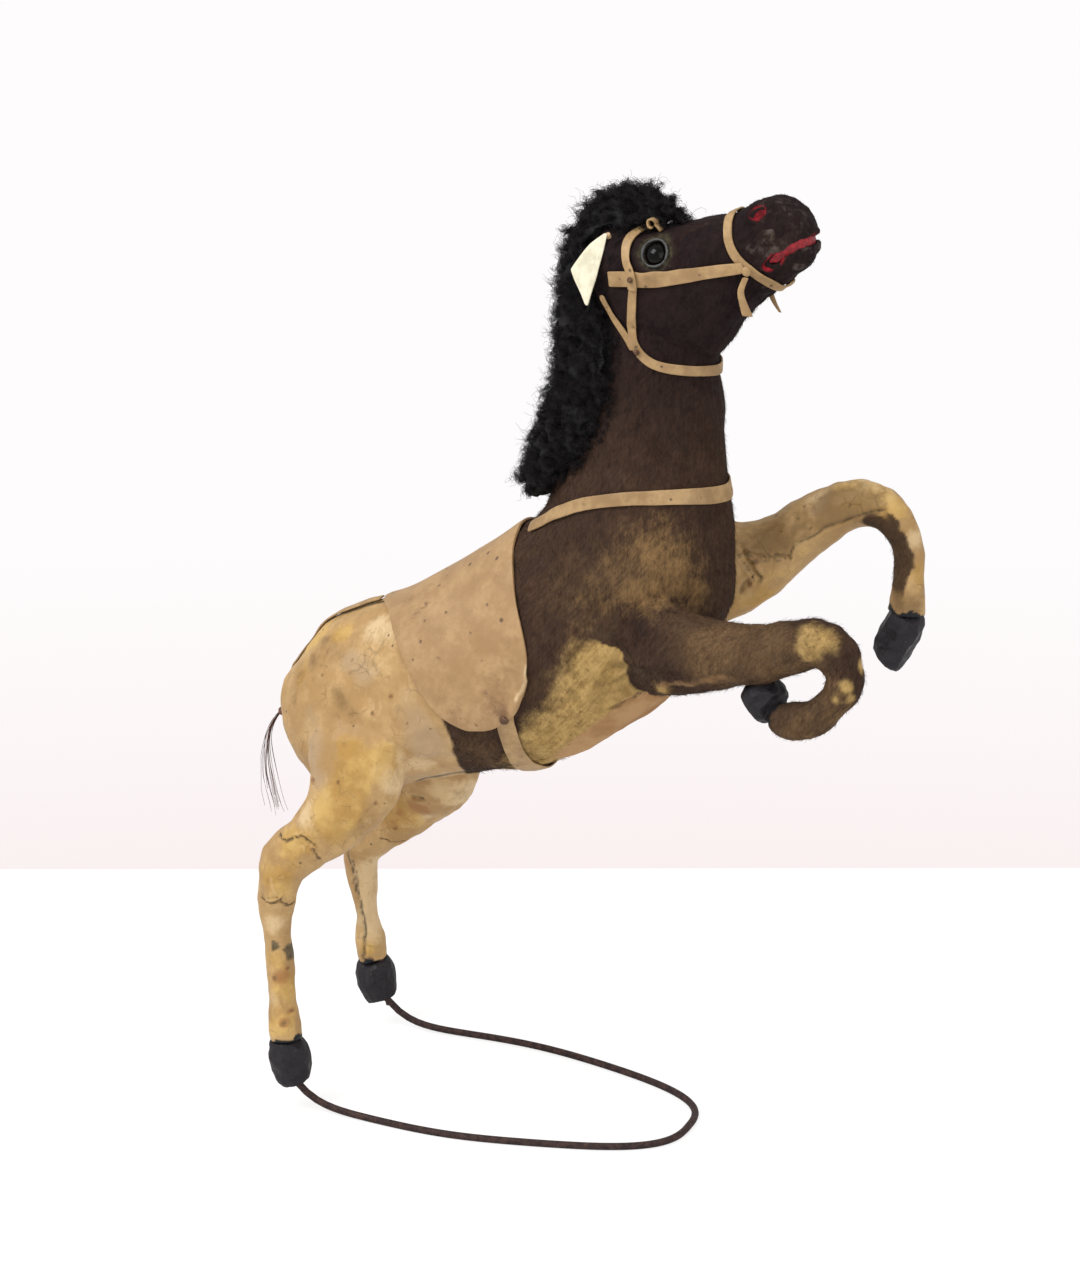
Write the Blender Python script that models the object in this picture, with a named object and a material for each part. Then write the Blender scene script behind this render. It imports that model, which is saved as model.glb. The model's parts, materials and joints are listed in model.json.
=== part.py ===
# A rearing toy horse: a wooden core under a worn hide, wire in its legs, a wool mane, glass
# eyes and a leather bridle, saddle and crupper, standing on a loop of springy wire.
# +X is forwards, +Y is the horse's left, +Z is up. Named sizes are in metres. The tables of
# stations are in millimetres, measured from midway between the soles of the two hind hooves.

import math

import bpy
import bmesh
import numpy as np
from mathutils import Matrix, Vector
from mathutils.bvhtree import BVHTree

MM = 0.001

# Driving sizes
FIT_GAP = 0.0003            # left between two pieces that touch
LAY_GAP = 0.0004            # left under leather that is laid over a curve
ORIGIN_AHEAD = 0.0951       # the model's origin, ahead of the line through the hind hooves
BARREL_WIDTH = 0.066        # across the ribs
HEAD_WIDTH = 0.036          # across the eyes
HIDE_THICKNESS = 0.0012
SOLE_HEIGHT = 0.0097        # the wire holds the hind soles this far above the floor
HOOF_SPACING = 0.077        # between the centres of the hind hooves
FORE_SPACING = 0.064        # between the centres of the fore hooves

WIRE_DIAMETER = 0.0025
LOOP_LENGTH = 0.140         # from the hooves to the front of the wire loop
LOOP_SKEW = 0.004           # the loop was bent this far over to the horse's left
LOOP_ROUNDNESS = 0.72       # 1 is half an ellipse, and less is squarer
LOOP_PIECES = 46            # straight pieces that make the loop
WIRE_DROP_REACH = 0.0125    # how far the wire runs forward while it drops to the floor
WIRE_DROP_BEND = 1.5        # larger bends the drop's two ends more sharply
HINGE_AHEAD = 0.0045        # the wire enters the hooves this far ahead of their middle line
LEG_WIRE_LENGTH = 0.060     # how far the wire runs up inside each hind leg
BORE_LEAD = 0.004           # how far the cutter of a wire's bore starts below the sole

DOWEL_DIAMETER = 0.006
HIP_DOWEL_SHORT = 0.004     # the dowels are this much shorter than the barrel is wide
SHOULDER_DOWEL_SHORT = 0.013

EYE_DIAMETER = 0.0094
EYE_STAND_OUT = 0.0016      # how far the glass stands out of the cheek
EYE_RING_GAP = 0.0004       # between the glass and the ring round it
EYE_RING_WIDTH = 0.0009
EYE_RING_HEIGHT = 0.0009
NOSTRIL_DIAMETER = 0.0044
MOUTH_RECESS = 0.0010       # the red lining lies this far inside the lips

STRAP_THICKNESS = 0.0007
CHEEK_STRAP_WIDTH = 0.0050
BRIDLE_STRAP_WIDTH = 0.0032
BREAST_STRAP_WIDTH = 0.0046
CRUPPER_WIDTH = 0.0042
GIRTH_WIDTH = 0.0066
SADDLE_THICKNESS = 0.0011
GIRTH_LAP = 0.0095          # the saddle is lifted over the girth strap this far from its stud
GIRTH_LAP_SLOPE = 0.0011    # and comes down to the hide over about four times this length
TACK_DIAMETER = 0.0024
TACK_HEIGHT = 0.0008
HEAD_TAPER = 0.64           # the top of a tack's or a stud's head, as a share of its foot
STUD_DIAMETER = 0.0040
STUD_HEIGHT = 0.0014
KNOT_DIAMETER = 0.0036
KNOT_FLATNESS = 0.62

EAR_LENGTH = 0.0246
EAR_WIDTH = 0.0088
EAR_THICKNESS = 0.0009
EAR_PEG_DIAMETER = 0.0020
EAR_PEG_LENGTH = 0.006
EAR_ROOM = 0.0010           # air kept between an ear and the wool
EAR_ROOT_ROOM = 0.0032      # and round its root
PIVOT_SHOWN = 0.01          # how large a pivot is drawn on the screen

MANE_WIDTH = 0.041
TAIL_PLUG_DIAMETER = 0.0040
TAIL_PLUG_LENGTH = 0.011
TAIL_BINDING_LENGTH = 0.0034
TAIL_HAIR_DIAMETER = 0.0034

BODY_SIDES = 20
HEAD_SIDES = 20
HEAD_SQUARENESS = 2.5
LIMB_SIDES = 14
EYE_RING_SIDES = 18
WIRE_SIDES = 8

# The body from the rump to the poll: top x and z, underside x and z, width as a share of
# BARREL_WIDTH, and how far the fullness drops towards the belly.
BODY_STATIONS = (
    (-13.5, 146.0, -13.5, 137.0, 0.16, 0.00),
    (-12.0, 151.0, -11.5, 127.0, 0.42, 0.00),
    (-7.0, 157.5, -3.0, 114.0, 0.66, 0.00),
    (3.5, 168.0, 10.0, 104.0, 0.84, 0.04),
    (19.5, 178.0, 26.5, 108.0, 0.94, 0.08),
    (35.5, 185.8, 46.5, 116.5, 0.97, 0.12),
    (51.3, 195.2, 70.0, 122.8, 1.00, 0.14),
    (67.1, 205.7, 88.0, 126.5, 1.00, 0.14),
    (80.7, 215.7, 109.4, 137.5, 0.95, 0.12),
    (88.6, 223.7, 128.4, 151.5, 0.88, 0.10),
    (93.0, 232.0, 146.5, 170.0, 0.82, 0.08),
    (97.0, 242.0, 157.3, 193.0, 0.78, 0.06),
    (100.2, 254.5, 158.3, 214.0, 0.69, 0.04),
    (103.0, 267.3, 155.8, 239.5, 0.59, 0.00),
    (105.4, 281.6, 154.4, 259.4, 0.53, 0.00),
    (108.0, 299.0, 152.4, 276.5, 0.50, 0.00),
    (110.5, 308.0, 150.0, 291.0, 0.40, 0.00),
)
NECK_START = 10             # the station where the neck's core begins

# The head from the poll to the lips: top x and z, underside x and z, width as a share of
# HEAD_WIDTH, and how far the fullness drops towards the jaw.
HEAD_STATIONS = (
    (105.5, 310.0, 112.0, 298.0, 0.45, 0.00),
    (106.5, 320.0, 119.5, 288.0, 0.78, 0.00),
    (113.5, 325.6, 133.0, 280.6, 0.92, -0.06),
    (128.6, 324.9, 152.2, 282.6, 0.98, -0.12),
    (144.4, 327.6, 160.0, 294.3, 0.86, -0.08),
    (155.1, 330.2, 168.0, 303.0, 0.66, 0.00),
    (161.2, 333.3, 174.3, 307.8, 0.60, 0.02),
    (168.0, 336.6, 179.3, 312.2, 0.62, 0.00),
    (175.6, 336.6, 183.0, 315.4, 0.60, 0.04),
    (181.2, 332.5, 184.8, 319.6, 0.44, 0.00),
    (184.0, 328.4, 185.4, 323.6, 0.18, 0.00),
)

# Each leg: x, how far inside its hoof the centre lies, z, half its depth fore and aft, and
# half its thickness across.
HIND_RIGHT = (
    (24.0, 25.0, 148.0, 19.0, 9.0),
    (26.5, 13.0, 132.5, 20.0, 12.5),
    (26.2, 9.5, 118.5, 17.0, 12.0),
    (19.0, 7.2, 106.3, 13.0, 10.5),
    (8.8, 5.2, 95.7, 10.6, 9.0),
    (-0.3, 4.0, 86.6, 9.6, 8.0),
    (-2.7, 3.2, 77.6, 7.6, 7.2),
    (-3.3, 2.8, 71.4, 7.0, 6.8),
    (-3.5, 2.4, 65.0, 5.8, 5.8),
    (-2.4, 1.8, 55.0, 5.1, 5.2),
    (-0.9, 1.0, 41.0, 5.1, 5.2),
    (-0.3, 0.4, 29.4, 6.1, 5.8),
    (0.4, 0.0, 18.0, 6.0, 6.0),
)
HIND_LEFT = (
    (30.0, 25.0, 130.0, 18.0, 9.0),
    (31.5, 13.0, 115.0, 19.5, 12.5),
    (28.5, 9.0, 102.5, 17.0, 12.0),
    (20.5, 7.0, 91.0, 13.0, 10.5),
    (8.8, 5.0, 79.6, 10.2, 9.0),
    (0.0, 4.4, 71.5, 8.6, 7.8),
    (-4.0, 4.0, 64.5, 7.0, 6.8),
    (-4.7, 3.2, 56.0, 5.8, 6.0),
    (-4.2, 2.2, 46.0, 5.0, 5.4),
    (-3.6, 1.4, 36.0, 4.9, 5.2),
    (-2.8, 0.8, 27.0, 5.6, 5.6),
    (-2.2, 0.0, 19.0, 6.0, 6.0),
)
HOCK_TOP_RIGHT = 4.5        # station where the thigh ends and the hock begins
HOCK_END_RIGHT = 7.3        # station where the hock ends and the cannon begins
HOCK_TOP_LEFT = 4.5
HOCK_END_LEFT = 6.4

FORE_RIGHT = (
    (127.0, 20.0, 183.5, 18.0, 8.0),
    (141.0, 10.0, 184.3, 17.5, 10.5),
    (154.7, 7.0, 184.9, 14.2, 10.5),
    (167.6, 4.0, 186.2, 11.8, 9.8),
    (179.7, 2.0, 189.6, 10.1, 9.0),
    (190.0, 1.0, 193.2, 9.2, 8.4),
    (199.6, 1.0, 195.6, 9.0, 8.4),
    (206.2, 1.0, 192.4, 7.8, 8.0),
    (209.7, 1.0, 186.6, 6.6, 7.2),
    (209.2, 1.0, 180.9, 6.4, 6.6),
    (206.2, 1.0, 175.8, 5.6, 6.2),
    (200.6, 0.5, 170.6, 5.8, 6.0),
    (194.2, 0.0, 168.4, 6.2, 6.2),
    (189.8, 0.0, 168.0, 5.6, 5.8),
    (187.4, 1.0, 168.4, 5.0, 5.4),
)
FORE_LEFT = (
    (131.0, 20.0, 199.0, 18.0, 8.0),
    (146.0, 12.0, 201.0, 19.0, 10.0),
    (158.8, 7.0, 205.0, 14.5, 10.5),
    (170.0, 3.0, 212.3, 11.0, 9.8),
    (179.8, 1.0, 220.7, 9.7, 9.0),
    (187.9, 0.0, 226.0, 9.0, 8.4),
    (194.9, 0.0, 227.6, 8.4, 8.0),
    (201.1, 0.0, 226.3, 7.4, 7.6),
    (206.3, 0.0, 222.6, 6.0, 6.8),
    (209.8, 0.0, 217.0, 5.2, 6.0),
    (211.4, 0.0, 210.5, 4.8, 5.6),
    (211.7, 0.0, 203.4, 4.9, 5.6),
    (211.9, 0.0, 196.3, 6.2, 6.4),
    (211.4, 0.0, 190.4, 6.7, 6.6),
)
KNEE_RIGHT = 7.0            # station where the forearm ends and the shin begins
KNEE_LEFT = 7.5

# Every hoof from its collar to its sole: share of its length, half its depth and half its
# width.
HOOF_PROFILE = ((0.00, 5.9, 5.8), (0.10, 6.8, 6.6), (0.36, 7.7, 7.5), (0.66, 7.7, 7.5),
                (0.90, 6.4, 6.4), (1.00, 5.3, 5.3))
HOOF_BEND = 0.35            # share of a hoof's length that still runs along its leg
# Sole centres: x, how far inside the hoof's middle it lies, and z.
SOLE_HIND_RIGHT = (3.7, 0.0, 1.2)
SOLE_HIND_LEFT = (1.4, 0.0, 1.8)
SOLE_FORE_RIGHT = (179.4, 5.0, 177.6)
SOLE_FORE_LEFT = (206.0, 0.0, 171.0)

# The wool mane from the forelock to the withers: its outer edge x and z, its edge on the neck
# x and z, and its width as a share of MANE_WIDTH.
MANE_STATIONS = (
    (140.5, 328.0, 137.0, 323.0, 0.16, 0.00),
    (137.5, 334.0, 131.0, 318.0, 0.40, 0.00),
    (130.0, 338.6, 127.0, 314.0, 0.50, 0.00),
    (119.5, 340.0, 123.5, 310.5, 0.56, 0.00),
    (108.0, 336.0, 122.5, 307.0, 0.60, 0.00),
    (99.5, 326.3, 123.0, 301.0, 0.68, 0.00),
    (94.5, 313.5, 125.0, 294.0, 0.78, 0.00),
    (93.0, 298.5, 127.5, 285.5, 0.90, 0.00),
    (93.0, 285.5, 129.0, 276.0, 0.98, 0.00),
    (92.0, 272.5, 128.8, 266.0, 1.00, 0.00),
    (88.5, 260.0, 126.5, 255.5, 1.00, 0.00),
    (84.0, 248.5, 120.5, 246.5, 0.95, 0.00),
    (79.8, 237.0, 109.0, 238.6, 0.80, 0.00),
    (79.3, 229.8, 97.0, 231.8, 0.52, 0.00),
    (82.0, 226.3, 89.0, 228.3, 0.20, 0.00),
)

# The mouth's opening, seen from the right, from its corner round the lower lip to the upper.
MOUTH_OUTLINE = ((170.3, 315.4), (175.5, 316.8), (180.0, 320.0), (185.0, 322.4), (192.0, 323.6),
                 (192.0, 328.6), (180.0, 324.8), (175.0, 321.2))

# The straps that the wool grows round
MANE_STRAPS = ("cheek_strap_right", "cheek_strap_left", "poll_strap_right", "poll_strap_left",
               "browband")

# Places on the right side that the left side mirrors: x, y and z.
EYE_PLACE = (134.9, -16.0, 318.7)
NOSTRIL_PLACE = (168.9, -8.6, 332.2)
CHEEK_CROSSING = (128.4, -16.4, 309.6)
THROAT_JUNCTION = (129.8, -16.6, 284.9)
BIT_KNOT = (165.6, -11.2, 314.4)
GIRTH_STUD = (87.6, -31.5, 155.2)
EAR_ROOT = (116.6, -13.8, 323.4)
EAR_TIP = (113.2, -20.6, 302.2)
HIP = (29.0, 0.0, 119.0)
SHOULDER = (141.0, 0.0, 191.0)
NECK_DOWEL_LOW = (112.0, 0.0, 186.0)
NECK_DOWEL_TOP = (133.0, 0.0, 305.0)
TAIL_ROOT = (-6.5, 0.0, 136.6)
TAIL_PLUG_AIM = (-16.4, 0.0, 132.6)

# Routes of the straps on the right side: x, y, z, width as a share of the strap's own width,
# and how many straps it lies over.
CHEEK_ROUTE = (
    (119.4, -14.8, 308.7, 1.04, 0.0), (126.7, -16.2, 309.4, 1.02, 0.0), (135.1, -17.3, 309.7, 1.00, 0.0),
    (144.0, -16.7, 311.5, 0.96, 0.0), (153.0, -14.8, 313.2, 0.84, 0.0), (159.6, -12.6, 314.0, 0.70, 0.0),
)
NOSE_ROUTE = (
    (157.7, 0.0, 331.4, 0.95, 0.0), (158.0, -7.4, 327.7, 0.92, 0.0), (159.0, -10.4, 322.8, 0.92, 0.0),
    (161.8, -11.4, 318.3, 0.92, 0.0), (165.4, -10.9, 315.2, 0.96, 0.0), (169.1, -9.5, 312.8, 1.04, 0.0),
    (172.7, -6.8, 310.4, 1.04, 0.0), (175.0, 0.0, 309.1, 1.04, 0.0),
)
BROW_ROUTE = (
    (128.6, -16.5, 308.4, 1.00, 1.0), (128.2, -16.5, 311.2, 1.00, 1.0), (126.0, -15.4, 314.4, 1.00, 0.3),
    (124.6, -13.6, 317.8, 1.00, 0.0), (125.0, -10.8, 321.0, 1.00, 0.0), (127.6, -6.6, 323.6, 0.95, 0.0),
    (131.2, -3.0, 324.9, 0.95, 0.0), (132.8, 0.0, 325.3, 0.95, 0.0),
)
LASH_ROUTE = (
    (128.6, -16.9, 305.6, 1.00, 0.0), (127.6, -16.2, 298.0, 0.98, 0.0), (127.2, -15.4, 291.5, 0.96, 0.0),
    (129.0, -16.4, 286.4, 1.00, 0.0), (133.2, -16.5, 282.2, 1.05, 0.0), (138.6, -15.3, 280.1, 1.08, 0.0),
    (144.3, -12.7, 279.1, 1.10, 0.0), (149.4, -7.4, 278.2, 1.10, 0.0), (152.4, 0.0, 277.6, 1.10, 0.0),
)
POLL_ROUTE = (
    (121.2, -15.4, 297.0, 0.66, 0.0), (122.0, -15.4, 293.0, 0.74, 0.0), (123.7, -15.8, 289.8, 0.80, 0.0),
)
BREAST_ROUTE = (
    (88.2, -11.6, 217.9, 1.00, 0.0), (94.4, -14.6, 222.6, 0.98, 0.0), (101.5, -17.6, 226.8, 0.96, 0.0),
    (110.5, -20.7, 230.8, 0.96, 0.0), (118.5, -22.4, 233.3, 0.96, 0.0), (127.7, -22.6, 235.3, 1.00, 0.0),
    (136.2, -21.1, 236.2, 1.06, 0.0), (143.9, -17.8, 236.6, 1.14, 0.0), (150.8, -12.3, 236.3, 1.24, 0.0),
    (155.4, -5.1, 235.6, 1.32, 0.0), (156.4, 0.0, 235.3, 1.34, 0.0),
)
CRUPPER_ROUTE = (
    (24.6, 0.0, 180.3, 0.95, 0.0), (16.0, 0.0, 175.9, 1.00, 0.0), (3.0, 0.0, 167.6, 1.00, 0.0),
    (-6.0, 0.0, 158.5, 0.95, 0.0), (-11.6, 0.0, 151.0, 0.90, 0.0), (-14.0, 0.0, 142.0, 0.85, 0.0),
    (-14.2, 0.0, 138.4, 0.85, 0.0),
)
GIRTH_ROUTE = (
    (87.2, -31.6, 158.8, 1.00, 0.0), (87.2, -31.2, 152.4, 1.00, 0.0), (87.8, -29.2, 146.0, 1.02, 0.0),
    (88.2, -25.6, 139.6, 1.04, 0.0), (88.6, -18.0, 132.0, 1.06, 0.0), (89.0, -9.0, 128.0, 1.06, 0.0),
    (89.2, 0.0, 126.8, 1.06, 0.0),
)

# The saddle sheet from the spine down to its right edge: front x, y, z, then rear x, y, z.
SADDLE_ROWS = (
    (81.8, 0.0, 216.4, 26.0, 0.0, 181.0),
    (82.6, -8.0, 214.6, 28.4, -6.5, 181.5),
    (84.8, -17.7, 207.5, 34.0, -13.5, 180.5),
    (89.2, -25.8, 195.8, 39.6, -21.0, 176.0),
    (93.0, -29.4, 186.4, 43.6, -25.4, 172.2),
    (95.9, -31.2, 176.5, 48.0, -29.0, 167.4),
    (94.2, -31.8, 167.0, 53.0, -31.4, 161.5),
    (91.2, -31.5, 159.0, 59.5, -32.6, 155.4),
    (86.0, -31.4, 152.2, 66.0, -32.6, 150.4),
    (79.6, -31.6, 148.8, 73.0, -31.8, 147.8),
)
SADDLE_COLUMNS = 8

# The right rein stub and the left one, from the knot down: x, y, z and half its width.
STUB_RIGHT = (
    (166.0, -13.7, 312.2, 1.0), (164.4, -13.7, 307.6, 1.1), (165.6, -13.9, 303.2, 1.5),
    (167.2, -14.1, 299.5, 1.9),
)
STUB_LEFT = (
    (166.0, 13.7, 312.2, 1.0), (164.6, 13.7, 305.6, 1.0), (166.2, 13.8, 299.8, 0.9),
    (168.8, 14.0, 295.6, 0.6),
)

# The ear's outline from its root to its tip: share of its length, and of its width behind
# and before the line between them.
EAR_OUTLINE = ((0.00, 0.07, 0.07), (0.18, 0.50, 0.10), (0.40, 0.80, 0.09), (0.59, 1.00, 0.07),
               (0.80, 0.58, 0.05), (1.00, 0.05, 0.03))

# The lock of tail hair from its binding to its ends: x, z and thickness as a share.
TAIL_ROUTE = (
    (-21.6, 126.8, 0.85), (-25.2, 117.3, 1.00), (-26.4, 107.1, 0.95),
    (-24.8, 96.1, 0.80), (-19.6, 83.8, 0.40),
)


def lerp(a, b, t):
    return a + (b - a) * t


def refine(rows, steps):
    # A smooth curve through every row of numbers, with this many steps between neighbours.
    rows = np.asarray(rows, float)
    rows = np.vstack([2 * rows[0] - rows[1], rows, 2 * rows[-1] - rows[-2]])
    fine = []
    for i in range(1, len(rows) - 2):
        a, b, c, d = rows[i - 1:i + 3]
        for k in range(steps):
            t = k / steps
            fine.append(0.5 * (2 * b + (c - a) * t + (2 * a - 5 * b + 4 * c - d) * t ** 2
                               + (3 * b - a - 3 * c + d) * t ** 3))
    fine.append(rows[-2])
    return np.array(fine)


def at(x, y, z):
    # A point given in millimetres from between the hind soles, in the model's own frame.
    return np.array([x * MM - ORIGIN_AHEAD, y * MM, z * MM + SOLE_HEIGHT])


def unit(v):
    return v / np.linalg.norm(v)


def squarer(value, squareness):
    return math.copysign(abs(value) ** (2 / squareness), value)


def sagittal_grid(stations, width, sides, steps, squareness=2.0):
    # Egg-shaped rings standing across the middle plane of the horse. A squareness of 2 makes
    # ellipses.
    turns = np.arange(sides) * 2 * math.pi / sides
    grid = []
    for top_x, top_z, low_x, low_z, share, drop in refine(stations, steps):
        top = at(top_x, 0, top_z)
        low = at(low_x, 0, low_z)
        ring = []
        for turn in turns:
            rise = squarer(math.cos(turn), squareness)
            across = share * width / 2 * squarer(math.sin(turn), squareness) * (1 - drop * rise)
            ring.append((top + low) / 2 + (top - low) / 2 * rise + np.array([0, -across, 0]))
        grid.append(ring)
    return np.array(grid)


def limb_rows(stations, side, spacing, steps, start=0.0, end=None):
    # Centre, direction, half depth and half thickness along a leg. side is -1 right, 1 left.
    fine = refine(stations, steps)
    centres = np.array([at(x, 0, z) + [0, side * (spacing / 2 - inset * MM), 0]
                        for x, inset, z, _, _ in fine])
    headings = np.gradient(centres, axis=0)
    place = np.arange(len(fine)) / steps
    end = place[-1] if end is None else end
    wanted = [start] + [p for p in place if start + 0.2 < p < end - 0.2] + [end]
    rows = []
    for p in wanted:
        columns = [np.interp(p, place, column) for column in
                   (*centres.T, *headings.T, fine[:, 3] * MM, fine[:, 4] * MM)]
        rows.append((np.array(columns[:3]), unit(np.array(columns[3:6])), columns[6], columns[7]))
    return rows


def limb_grid(rows, sides, trim_start=0.0, trim_end=0.0):
    grid = []
    for i, (centre, heading, depth, thick) in enumerate(rows):
        if i == 0:
            centre = centre + heading * trim_start
        if i == len(rows) - 1:
            centre = centre - heading * trim_end
        across = unit(np.array([0, 1, 0]) - heading * heading[1])
        fore = np.cross(across, heading)
        grid.append([centre + fore * depth * math.cos(t) + across * thick * math.sin(t)
                     for t in np.arange(sides) * 2 * math.pi / sides])
    return np.array(grid)


def swell(grid, amount):
    # The same grid moved out along its own normals, or in where amount is negative.
    along = np.gradient(grid, axis=0)
    around = np.roll(grid, -1, axis=1) - np.roll(grid, 1, axis=1)
    normals = np.cross(along, around)
    normals /= np.linalg.norm(normals, axis=2, keepdims=True)
    outward = np.sign(np.sum(normals * (grid - grid.mean(axis=1, keepdims=True))))
    return grid + amount * outward * normals


def add_grid(mesh, grid, close_start=True, close_end=True):
    # Quads between neighbouring rings, and a fan over each end that is closed.
    rings = [[mesh.verts.new(p) for p in ring] for ring in grid]
    count = len(rings[0])
    for low, high in zip(rings, rings[1:]):
        for k in range(count):
            mesh.faces.new((low[k], low[(k + 1) % count], high[(k + 1) % count], high[k]))
    for ring, closed in ((rings[0], close_start), (rings[-1], close_end)):
        if closed:
            pole = mesh.verts.new(sum((v.co for v in ring), Vector()) / count)
            for k in range(count):
                mesh.faces.new((ring[k], ring[(k + 1) % count], pole))
    return rings


def bridge(mesh, ring, other):
    count = len(ring)
    for k in range(count):
        after = (k + 1) % count
        mesh.faces.new((ring[k], ring[after], other[after], other[k]))


def finish_mesh(name, mesh, material=None, smooth_angle=40):
    bmesh.ops.recalc_face_normals(mesh, faces=mesh.faces)
    data = bpy.data.meshes.new(name)
    mesh.to_mesh(data)
    mesh.free()
    data.shade_smooth()
    data.set_sharp_from_angle(angle=math.radians(smooth_angle))
    thing = bpy.data.objects.new(name, data)
    bpy.context.scene.collection.objects.link(thing)
    if material:
        data.materials.append(material)
    return thing


def solid(name, grid, material=None):
    mesh = bmesh.new()
    add_grid(mesh, grid)
    return finish_mesh(name, mesh, material)


def cylinder(name, start, end, radius, sides=16, material=None, end_radius=None):
    start = np.asarray(start, float)
    end = np.asarray(end, float)
    heading = unit(end - start)
    helper = np.array([0, 0, 1]) if abs(heading[2]) < 0.8 else np.array([1, 0, 0])
    first = unit(np.cross(helper, heading))
    second = np.cross(heading, first)
    grid = []
    for centre, size in ((start, radius), (end, radius if end_radius is None else end_radius)):
        grid.append([centre + size * (first * math.cos(t) + second * math.sin(t))
                     for t in np.arange(sides) * 2 * math.pi / sides])
    return solid(name, np.array(grid), material)


def settle(thing):
    # Replaces a piece's mesh by the one that its modifiers make.
    bpy.context.view_layer.update()
    evaluated = thing.evaluated_get(bpy.context.evaluated_depsgraph_get())
    data = bpy.data.meshes.new_from_object(evaluated)
    old = thing.data
    thing.modifiers.clear()
    thing.data = data
    name = old.name
    bpy.data.meshes.remove(old)
    data.name = name


def remove(thing):
    data = thing.data
    bpy.data.objects.remove(thing)
    bpy.data.meshes.remove(data)


def combine(thing, tool, operation="DIFFERENCE", keep_tool=False):
    modifier = thing.modifiers.new("cut", "BOOLEAN")
    modifier.operation = operation
    modifier.solver = "MANIFOLD"
    modifier.object = tool
    settle(thing)
    if not keep_tool:
        remove(tool)


def keep_largest(thing):
    # Drops the crumbs that cutting leaves, and keeps the piece with the most faces.
    mesh = bmesh.new()
    mesh.from_mesh(thing.data)
    left = set(mesh.faces)
    islands = []
    while left:
        front = [left.pop()]
        island = list(front)
        while front:
            for edge in front.pop().edges:
                near = [face for face in edge.link_faces if face in left]
                left.difference_update(near)
                front += near
                island += near
        islands.append(island)
    for island in sorted(islands, key=len)[:-1]:
        bmesh.ops.delete(mesh, geom=island, context="FACES")
    mesh.to_mesh(thing.data)
    mesh.free()


def finish_material(name, colour, roughness, metallic=0.0):
    material = bpy.data.materials.new(name)
    material.use_nodes = True
    shader = material.node_tree.nodes["Principled BSDF"]
    shader.inputs["Base Color"].default_value = (*colour, 1)
    shader.inputs["Roughness"].default_value = roughness
    shader.inputs["Metallic"].default_value = metallic
    return material


def make_materials():
    return {
        "wire": finish_material("wire", (0.055, 0.036, 0.030), 0.45, 0.8),
        "wood": finish_material("wood", (0.46, 0.31, 0.17), 0.8),
        "dark_hide": finish_material("dark_hide", (0.075, 0.045, 0.030), 0.85),
        "pale_hide": finish_material("pale_hide", (0.62, 0.45, 0.22), 0.6),
        "leather": finish_material("leather", (0.52, 0.35, 0.20), 0.6),
        "ear_leather": finish_material("ear_leather", (0.72, 0.66, 0.50), 0.6),
        "hoof_paint": finish_material("hoof_paint", (0.012, 0.013, 0.015), 0.45),
        "wool": finish_material("wool", (0.006, 0.005, 0.006), 0.95),
        "tail_hair": finish_material("tail_hair", (0.10, 0.035, 0.02), 0.6),
        "glass": finish_material("glass", (0.01, 0.01, 0.012), 0.05),
        "mouth_red": finish_material("mouth_red", (0.35, 0.03, 0.03), 0.5),
        "brown_metal": finish_material("brown_metal", (0.14, 0.07, 0.04), 0.5, 0.6),
    }


def wire_path():
    # From under the right hoof down to the floor, round the loop and up to the left hoof.
    points = []
    drop = SOLE_HEIGHT - FIT_GAP - WIRE_DIAMETER
    for k in range(LOOP_PIECES + 1):
        turn = math.pi * k / LOOP_PIECES
        ahead = math.sin(turn) ** LOOP_ROUNDNESS if 0 < k < LOOP_PIECES else 0.0
        side = math.copysign(abs(math.cos(turn)) ** LOOP_ROUNDNESS, -math.cos(turn))
        reach = ahead * LOOP_LENGTH
        points.append([HINGE_AHEAD - ORIGIN_AHEAD + reach,
                       side * HOOF_SPACING / 2 + LOOP_SKEW * (1 - math.exp(-4 * ahead)),
                       WIRE_DIAMETER / 2 + drop * math.exp(-(reach / WIRE_DROP_REACH) ** WIRE_DROP_BEND)])
    return np.array(points)


def tube_grid(points, radius, sides, flat_below=False):
    # A round tube along level points. Turned half a side so that a flat side lies below.
    headings = np.gradient(points, axis=0)
    grid = []
    for centre, heading in zip(points, headings):
        heading = unit(heading)
        across = unit(np.cross(heading, [0, 0, 1]))
        rise = np.cross(across, heading)
        ring = []
        for k in range(sides):
            turn = 2 * math.pi * (k + 0.5) / sides
            reach = radius / math.cos(math.pi / sides) if flat_below else radius
            ring.append(centre + reach * (across * math.sin(turn) - rise * math.cos(turn)))
        grid.append(ring)
    return np.array(grid)


def shell(name, outer, inner, material):
    # A cup: closed at the first ring, with its wall open at the last one.
    mesh = bmesh.new()
    outside = add_grid(mesh, outer, True, False)
    inside = add_grid(mesh, inner, True, False)
    bridge(mesh, outside[-1], inside[-1])
    return finish_mesh(name, mesh, material)


def ball(name, centre, radii, rings=8, sides=14, material=None):
    mesh = bmesh.new()
    bmesh.ops.create_uvsphere(mesh, u_segments=sides, v_segments=rings, radius=1)
    for vertex in mesh.verts:
        vertex.co = Vector(centre) + Vector([c * r for c, r in zip(vertex.co, radii)])
    return finish_mesh(name, mesh, material)


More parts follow.
